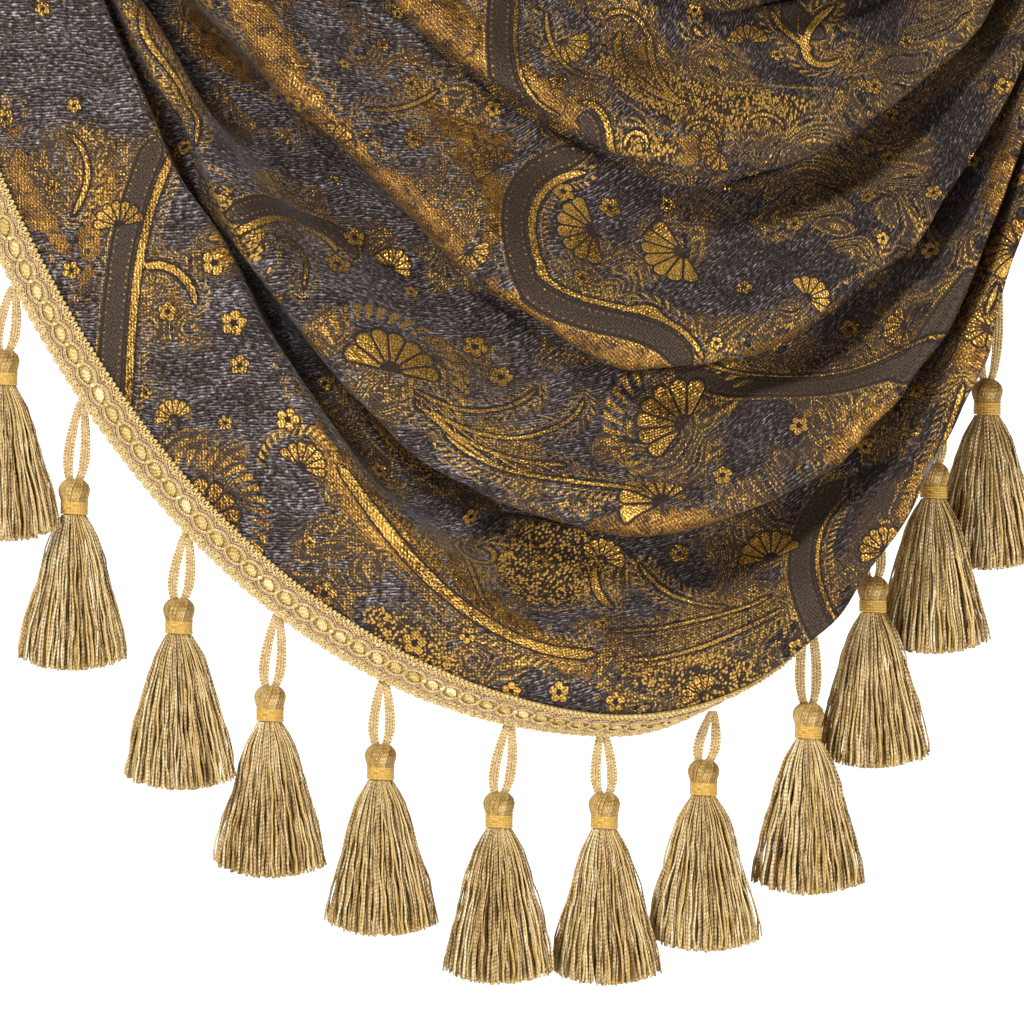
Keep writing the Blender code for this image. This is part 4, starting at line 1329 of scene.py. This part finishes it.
fan_field, fan_away = stamp_field(FANS, [HALO if fan.commas else 1 for fan in FANS],
                                  [2 if fan.commas else 1 for fan in FANS])
patches = patch_field()
print("points in fans:", int((fan_away < 0).sum()))

# %% Small flowers strewn on the open ground
STREWN_SEED = 5
STREWN_TRIES = 700
STREWN_CLEAR = 13.0             # mm from one flower to the next
STREWN_RADII = (2.2, 3.4)
LINE_CLEAR, FAN_CLEAR, PATCH_CLEAR = 4, 3, 2        # mm of open ground that a flower's middle needs
rng = np.random.default_rng(STREWN_SEED)
open_ground = ((np.minimum(line_edge, band_edge) > LINE_CLEAR) & (fan_away > FAN_CLEAR)
               & (patches.min(axis=2) > PATCH_CLEAR))
strewn = list(BLOOMS)
for _ in range(STREWN_TRIES):
    row, column = rng.integers(0, flat.shape[0]), rng.integers(0, flat.shape[1])
    x, z = flat[row, column]
    if open_ground[row, column] and all(
            bloom.fold != fold_of_row[row] or np.hypot(bloom.x - x, bloom.z - z) > bloom.radius + STREWN_CLEAR
            for bloom in strewn):
        strewn.append(Bloom(fold_of_row[row], x, z, rng.uniform(*STREWN_RADII)))
bloom_field, _ = stamp_field(strewn, [1] * len(strewn), [1 + number % 2 for number in range(len(strewn))])
print("flowers in all:", len(strewn))

# %% Write the numbers on the cloth
place = np.dstack([flat, np.ones(flat.shape[:2])])
FIELDS = [
    # name, the numbers on the face, and those on every point of the back
    ("lines", line_field, (FAR, 0, -FAR)),
    ("bands", band_field, (FAR, 0, -FAR)),
    ("blooms", bloom_field, (FAR, FAR, 0)),
    ("fans", fan_field, (FAR, FAR, 0)),
    ("patches", patches, (FAR, FAR, FAR)),
]
write_numbers(swag.data, "place", np.concatenate([place.reshape(-1, 3),
                                                  place[BEHIND].reshape(-1, 3) * [1, 1, 0]]))
for name, field, blank in FIELDS:
    blanks = np.tile(np.array(blank, float), (back_index.size, 1))
    write_numbers(swag.data, name, np.concatenate([field.reshape(-1, 3), blanks]))
print("fields on the cloth:", [name for name, _, _ in FIELDS])

# %% [markdown]
# ### Jacquard material
#
# Four surfaces meet in this cloth. Chenille, the furry grey weft, scatters light softly and lies in rows a
# millimetre apart, dark between them. Brown satin is smooth, with a low shine. The gold figures are floats of
# bright rayon, raised a little, with a short slanting stitch every millimetre. Ochre satin is the same rayon
# under a finer binding. The shader works out from the written numbers which of them lies on top.
#
# So many steps read best as a list: each row below has a name, a kind and what goes into it, and it may use
# the names of the rows above. All lengths in it are millimetres.

# %% Jacquard: chenille ground
ROW = 0.95                      # mm between chenille rows
STREAK = 1.9                    # mm, length of a light streak in a row
ROUND_X, ROUND_Z = -35, -110    # the rows turn round this place at the right, and run level at the left
tree, shader, jacquard = new_material("paisley_chenille_jacquard", 0.8, Sheen_Weight=0.05,
                                      Sheen_Roughness=0.5, Specular_IOR_Level=0.35)
known = {}
read_field(tree, known, "place", "x", "z", "face")
read_field(tree, known, "lines", "line_across", "line_length", "line_half")
read_field(tree, known, "bands", "band_across", "band_length", "band_half")
read_field(tree, known, "blooms", "bloom_x", "bloom_y", "bloom_flag")
read_field(tree, known, "fans", "fan_x", "fan_y", "fan_flag")
read_field(tree, known, "patches", "satin_edge", "brown_edge", "bead_edge")
recipe(tree, known, [
    ("spot", "CombineXYZ", "x", "z", 0.0),
    ("waver", "MULTIPLY_ADD", ("TexNoise", "spot", 0.05, 1.0), 5.0, -ROUND_Z - 2.5),
    ("depth", "MULTIPLY", ("ADD", "z", "waver"), -1.0),
    ("fall", "MAXIMUM", "depth", 30.0),
    ("aside", "ADD", "x", float(-ROUND_X)),
    ("right", "MAXIMUM", "aside", 0.0),
    ("ring", "Length", "right", "fall"),
    ("along", "MULTIPLY_ADD", "ring", ("ARCTAN2", "right", "fall"), ("MINIMUM", "aside", 0.0)),
    ("across", "SUBTRACT", "ring", ("SUBTRACT", "fall", "depth")),
    ("weft", "CombineXYZ", "along", "across", 0.0),
    ("streak", "TexNoise", ("VectorMath.MULTIPLY", "weft", (1 / STREAK, 1.0 / ROW, 1.0)), 1.0, 2.0, 0.65),
    ("streak_wide", "MULTIPLY_ADD", "streak", 1.5, -0.24),
    ("row_wave", "SINE", ("MULTIPLY", "across", 2 * np.pi / ROW)),
    ("fluff", "MULTIPLY_ADD", "row_wave", 0.10, "streak_wide"),
    ("patchy", "TexNoise", "spot", 0.09, 2.0),
    ("fluff_even", "ADD", "fluff", ("MULTIPLY_ADD", "patchy", 0.4, -0.21)),
    # painted shade: the pile is made darker towards the right, where it leans away from the light
    ("fluff_lit", "SUBTRACT", "fluff_even", ("MapRange", "x", -10.0, 130.0, 0.0, 0.12)),
    ("patchy_gold", "MapRange", "patchy", 0.38, 0.58, 0.15, 1.0),
    ("fleck", "MapRange", ("TexNoise", "weft", 1.3, 0.0), 0.57, 0.63, 0.0, 0.8),
])
PILE_STOPS = ((0.32, "#0E0A08"), (0.46, "#271D18"), (0.57, "#504743"), (0.72, "#827C7D"), (0.94, "#C9C6C8"))
known["pile"] = add(tree, "ValToRGB", known["fluff_lit"], stops=PILE_STOPS)
recipe(tree, known, [("chenille", "Mix.RGBA", "fleck", "pile", "#4A332A")])
print("nodes for the ground:", len(tree.nodes))

# %% Jacquard: masks of the figure
SOFT = 0.14                     # mm, a figure's edge fades over this much
STITCH = 0.95                   # mm between the slanting stitches of gold
COMMAS_BESIDE = 3.9             # mm from a line's edge to the middle of its row of commas
COMMA_PITCH = 2.5
DOTS_INSIDE = 1.75              # mm from a band's edge to its gold dots
DOT_PITCH = 2.2
RING_PITCH = 4.8                # mm from one ring of a drop to the next
FINE_LINES = [
    # name, the edge that it follows, mm beside that edge, and where it starts and ends to fade
    ("rim", "line_edge", 0.35, 0.25, 0.45),
    ("echo", "line_edge", 1.90, 0.20, 0.42),
    ("band_line", "band_edge", -0.75, 0.15, 0.35),
    ("edging", "band_edge", 0.55, 0.22, 0.40),
]
recipe(tree, known, [
    # the edge of every figure moves in small woven steps
    ("jag", "MULTIPLY_ADD", ("TexNoise", "spot", 1.1, 1.0), 1.1, -0.55),
    ("line_edge", "ADD", ("SUBTRACT", ("ABSOLUTE", "line_across"), "line_half"), "jag"),
    ("gold_line", "Fall", "line_edge", -SOFT, SOFT),
    # a row of commas beyond each line
    ("comma_off", "SUBTRACT", "line_edge", COMMAS_BESIDE),
    ("comma_slant", "MULTIPLY_ADD", "comma_off", 0.7, "line_length"),
    ("comma_turn", "PINGPONG", "comma_slant", COMMA_PITCH / 2),
    ("comma_round", "Length", ("MULTIPLY", "comma_off", 0.42), ("MULTIPLY", "comma_turn", 1.15)),
    ("comma", "Fall", ("MULTIPLY_ADD", "jag", 0.3, "comma_round"), 0.50, 0.68),
    # bands of brown satin, with a row of gold dots inside each edge
    ("band_far", "SUBTRACT", ("ABSOLUTE", "band_across"), "band_half"),
    ("band_edge", "MULTIPLY_ADD", "jag", 0.6, "band_far"),
    ("band", "Fall", "band_edge", -SOFT, SOFT),
    ("dot_along", "PINGPONG", "band_length", DOT_PITCH / 2),
    ("dot_round", "Length", "dot_along", ("ADD", "band_edge", DOTS_INSIDE)),
    ("band_dot", "Fall", "dot_round", 0.22, 0.46),
    # patches of ochre satin, of brown with gold specks, and of gold beads
    ("drop_bend", "TexNoise", "spot", 0.14, 2.0),
    ("satin_even", "SUBTRACT", ("MULTIPLY_ADD", "drop_bend", 12.0, "satin_edge"), 6.6),
    ("satin_far", "MULTIPLY_ADD", "jag", 2.0, "satin_even"),
    ("satin", "Fall", "satin_far", -0.2, 0.2),
    ("brown", "Fall", ("MULTIPLY_ADD", "jag", 4.0, "brown_edge"), -0.6, 0.6),
    ("bead_far", "MULTIPLY_ADD", "jag", 2.0, "bead_edge"),
    ("bead_patch", "Fall", "bead_far", -0.4, 0.4),
    # a satin or beaded one is a drop within a drop, with rings that repeat its outline inside and outside
    ("nearest_drop", "MINIMUM", "satin_far", "bead_far"),
    ("ring_side", "PINGPONG", ("ADD", "nearest_drop", RING_PITCH / 2), RING_PITCH / 2),
    ("ring_where", "MULTIPLY", ("Fall", "nearest_drop", 3.0, 3.4), ("Rise", "nearest_drop", -4.0, -3.4)),
    ("drop_rings", "MULTIPLY", ("Fall", "ring_side", 0.25, 0.50), "ring_where"),
])
recipe(tree, known, [(name, "Fall", ("ABSOLUTE", ("SUBTRACT", edge, beside)), full, gone)
                     for name, edge, beside, full, gone in FINE_LINES])
print("nodes with the masks:", len(tree.nodes))

# %% Jacquard: flowers and fans
PETAL = 2 * np.pi / 5
LOBE = np.radians(25)
COMMA_TURN = np.radians(11)
DIAGONAL = 1.414                # x + z grows so much faster than length does across the stitches
recipe(tree, known, [
    ("bloom_there", "GREATER_THAN", "bloom_flag", 0.99),
    ("bloom_r", "Length", "bloom_x", "bloom_y"),
    ("petal_turn", "PINGPONG", ("ARCTAN2", "bloom_y", "bloom_x"), PETAL / 2),
    ("petal_x", "MULTIPLY", "bloom_r", ("COSINE", "petal_turn")),
    ("petal_y", "MULTIPLY", "bloom_r", ("SINE", "petal_turn")),
    ("petal_r", "Length", ("SUBTRACT", "petal_x", 0.60), "petal_y"),
    ("petal_far", "ADD", "petal_r", ("MULTIPLY", "jag", 0.30)),
    ("petal", "MULTIPLY", ("Fall", "petal_far", 0.32, 0.38), "bloom_there"),
    ("petal_rim", "MULTIPLY", ("Fall", "petal_far", 0.46, 0.52), "bloom_there"),
    ("eye", "MULTIPLY", ("Fall", "bloom_r", 0.20, 0.26), "bloom_there"),
    # a fan opens from its base, with lobes like a shell's and grooves between them
    ("fan_there", "GREATER_THAN", "fan_flag", 0.99),
    ("halo_there", "GREATER_THAN", "fan_flag", 1.99),
    ("fan_r", "Length", "fan_x", "fan_y"),
    ("fan_turn", "ARCTAN2", "fan_y", "fan_x"),
    ("fan_open", "ABSOLUTE", "fan_turn"),
    ("lobe_share", "DIVIDE", ("PINGPONG", "fan_turn", LOBE / 2), LOBE / 2),
    ("lobe_reach", "MULTIPLY_ADD", ("POWER", "lobe_share", 3.0), -0.16, 0.94),
    ("fan_shape", "MULTIPLY_ADD", "jag", 0.05, ("SUBTRACT", "fan_r", "lobe_reach")),
    ("fan_edge", "ADD", "fan_shape", ("Rise", "fan_open", np.radians(88), np.radians(94))),
    ("fan", "MULTIPLY", ("Fall", "fan_edge", -0.02, 0.02), "fan_there"),
    ("fan_rim", "MULTIPLY", ("Fall", "fan_edge", 0.07, 0.11), "fan_there"),
    ("groove_wide", "MULTIPLY", ("SUBTRACT", 1.0, "lobe_share"), "fan_r"),
    ("fan_gap", "MAXIMUM", ("Fall", "groove_wide", 0.10, 0.17), ("Fall", "fan_r", 0.22, 0.30)),
    # a ring of commas round some of the fans
    ("ray_turn", "PINGPONG", ("MULTIPLY_ADD", "fan_r", 0.35, "fan_turn"), COMMA_TURN / 2),
    ("ray_far", "SUBTRACT", "fan_r", 1.40),
    ("ray_taper", "MULTIPLY_ADD", "ray_far", 0.16, 0.062),
    ("ray_edge", "SUBTRACT", ("MULTIPLY", "ray_turn", "fan_r"), "ray_taper"),
    ("ray_line", "Fall", "ray_edge", -0.015, 0.015),
    ("ray_ends", "Fall", ("ABSOLUTE", "ray_far"), 0.17, 0.21),
    ("ray", "MULTIPLY", "ray_line", "ray_ends", ("Fall", "fan_open", 1.9, 2.1), "halo_there"),
])
print("nodes with flowers and fans:", len(tree.nodes))

# %% Jacquard: fine filling between the figures
recipe(tree, known, [
    # beads: single stitches of gold, which make up every fine line
    ("stitches", "TexVoronoi", "weft", 0.98, None, None, None, 0.45),
    ("stitch_bead", "MapRange", "stitches", 0.36, 0.56, 1.0, 0.12),
    ("bead", "Fall", ("TexVoronoi", "weft", 0.85, None, None, None, 0.7), 0.36, 0.50),
    ("speckle", "Fall", ("TexVoronoi", "weft", 0.80, None, None, None, 0.9), 0.20, 0.34),
    # nested scrolls, as level lines of a slow noise
    ("zone", "MULTIPLY_ADD", "x", 0.0004, ("TexNoise", "spot", 0.030, 1.0)),
    ("dense", "Rise", "zone", 0.485, 0.545),
    ("scroll_noise", "TexNoise", "spot", 0.026, 1.0, 0.35, 2.0, 1.6),
    ("scroll_level", "MULTIPLY_ADD", "scroll_noise", 17.0, ("MULTIPLY", "jag", 0.35)),
    ("scroll_turn", "PINGPONG", "scroll_level", 1.0),
    ("scroll_line", "Fall", "scroll_turn", 0.10, 0.17),
    ("scroll_row", "Fall", ("ABSOLUTE", ("SUBTRACT", "scroll_turn", 0.62)), 0.07, 0.13),
    ("scroll_floor", "Fall", "scroll_turn", 0.45, 0.60),
    # and small drops with a gold rim, as the peaks of another
    ("drop_noise", "TexNoise", "spot", 0.060, 1.0, 0.5, 2.0, 1.2),
    ("drop_level", "SUBTRACT", "drop_noise", 0.585),
    ("drop", "Rise", "drop_level", 0.0, 0.010),
    ("drop_rim", "Fall", ("ABSOLUTE", "drop_level"), 0.007, 0.013),
])
print("nodes with the filling:", len(tree.nodes))

# %% Jacquard: colour of each surface
recipe(tree, known, [
    ("slant", "MULTIPLY_ADD", "jag", 0.5, ("MULTIPLY_ADD", "z", 1.0, "x")),
    ("stitch", "SINE", ("MULTIPLY", "slant", 2 * np.pi / (STITCH * DIAGONAL))),
    ("fibre", "TexNoise", "spot", 1.6, 2.0),
    ("gold_bead", "Fall", "stitches", 0.12, 0.62),
    ("gold_woven", "MULTIPLY_ADD", "stitch", 0.09, "fibre"),
    ("gold_light", "Rise", ("MULTIPLY_ADD", "gold_bead", 0.42, "gold_woven"), 0.46, 0.98),
    # painted light and shade: a slow noise makes broad patches of the gold lighter and darker
    ("gold_lit", "MULTIPLY_ADD", ("TexNoise", "spot", 0.035, 2.0), 1.8, -0.85),
    ("gold", "Mix.RGBA", ("ADD", "gold_light", "gold_lit"), "#53310F", "#FFC65C"),
    ("umber_light", "Rise", ("MULTIPLY_ADD", "stitch", 0.08, "fibre"), 0.32, 0.70),
    ("umber", "Mix.RGBA", "umber_light", "#1B120C", "#584535"),
    ("speckled", "Mix.RGBA", ("MULTIPLY", "speckle", "patchy_gold"), "umber", "#9A6B2E"),
    ("satin_value", "MULTIPLY_ADD", "stitch", 0.12, "fibre"),
    # painted light and shade: the slow noise drop_bend makes the ochre satin lighter and darker in patches
    ("satin_light", "Rise", ("MULTIPLY_ADD", "drop_bend", 0.7, "satin_value"), 0.62, 1.14),
    ("ochre", "Mix.RGBA", "satin_light", "#3A2611", "#B9843A"),
    ("worn", "MapRange", ("TexNoise", "spot", 0.22, 2.0, 0.6), 0.54, 0.61, 0.0, 0.85),
    ("ochre_worn", "Mix.RGBA", ("MAXIMUM", "speckle", "worn"), "ochre", "speckled"),
    ("beaded", "Mix.RGBA", "bead", "#2E1E14", "#D8A548"),
    ("dark", "Mix.RGBA", "fibre", "#160E0A", "#2E1D16"),
])
GLOSS = {"gold": 1.0, "ochre_worn": 0.9, "beaded": 0.5, "umber": 0.45, "speckled": 0.2, "dark": 0.0}
LAYERS = [
    # mask, its colour, and how much of the mask is used
    ("brown", "speckled", 0.9), ("umber_zone", "speckled", 0.9), ("drop_zone", "speckled", 0.95),
    ("scroll_gold", "gold", 0.95),
    ("satin", "ochre_worn", 1.0), ("bead_patch", "beaded", 0.9), ("rings", "gold", 0.9),
    ("echo_beads", "gold", 0.9), ("comma", "gold", 0.8),
    ("band", "umber", 1.0), ("band_line", "dark", 0.85), ("band_dot_in", "gold", 0.65),
    ("edging_beads", "gold", 0.9),
    ("ray", "gold", 0.95), ("fan_rim", "dark", 0.9), ("fan_bright", "gold", 1.0),
    ("petal_rim", "dark", 0.9), ("petal", "gold", 1.0), ("eye", "dark", 1.0),
    ("rim", "dark", 0.95), ("gold_line", "gold", 1.0),
]
recipe(tree, known, [
    ("umber_zone", "MULTIPLY", "dense", "scroll_floor"),
    ("drop_zone", "MULTIPLY", "dense", "drop"),
    ("scroll_all", "MAXIMUM", "scroll_line", "scroll_row", "drop_rim"),
    ("scroll_gold", "MULTIPLY", "scroll_all", "dense", "stitch_bead"),
    ("rings", "MULTIPLY", "drop_rings", "stitch_bead"),
    ("echo_beads", "MULTIPLY", "echo", "stitch_bead"),
    ("edging_beads", "MULTIPLY", "edging", "stitch_bead"),
    ("dot_side", "MapRange", "x", 30.0, 50.0, 0.9, 0.2),
    ("band_dot_in", "MULTIPLY", "band_dot", "dot_side", "band"),
    ("fan_bright", "MULTIPLY", "fan", ("SUBTRACT", 1.0, "fan_gap")),
])
known.update(colour=known["chenille"], shine=0.0)
for mask, surface_colour, share in LAYERS:
    recipe(tree, known, [
        ("used", "MULTIPLY", mask, share),
        ("colour", "Mix.RGBA", "used", "colour", surface_colour),
        ("shine", "Mix.FLOAT", "used", "shine", GLOSS[surface_colour]),
    ])
print("nodes with the colours:", len(tree.nodes))

# %% Jacquard: sides, gloss and relief
recipe(tree, known, [
    ("wrong_side", "Mix.RGBA", "streak", "#4C4442", "#8D8279"),
    ("two_sided", "Mix.RGBA", "face", "wrong_side", "colour"),
    ("face_shine", "MULTIPLY", "shine", "face"),
    ("rough", "MapRange", "face_shine", 0.0, 1.0, 0.88, 0.31),
    ("metal", "MULTIPLY", "face_shine", 0.55),
    ("gold_height", "MULTIPLY_ADD", "gold_bead", 0.55, 0.8),
    ("relief", "Mix.FLOAT", "shine", ("MULTIPLY", "fluff", 0.55), "gold_height"),
    ("normal", "Bump", 0.85, 0.0006, None, "relief"),
])
for name, socket in (("two_sided", "Base Color"), ("rough", "Roughness"), ("metal", "Metallic"),
                     ("normal", "Normal")):
    tree.links.new(known[name], shader.inputs[socket])
swag.data.materials.append(jacquard)
print("jacquard nodes:", len(tree.nodes))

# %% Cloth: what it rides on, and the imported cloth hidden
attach(swag, "root")
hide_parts("swag_cloth")
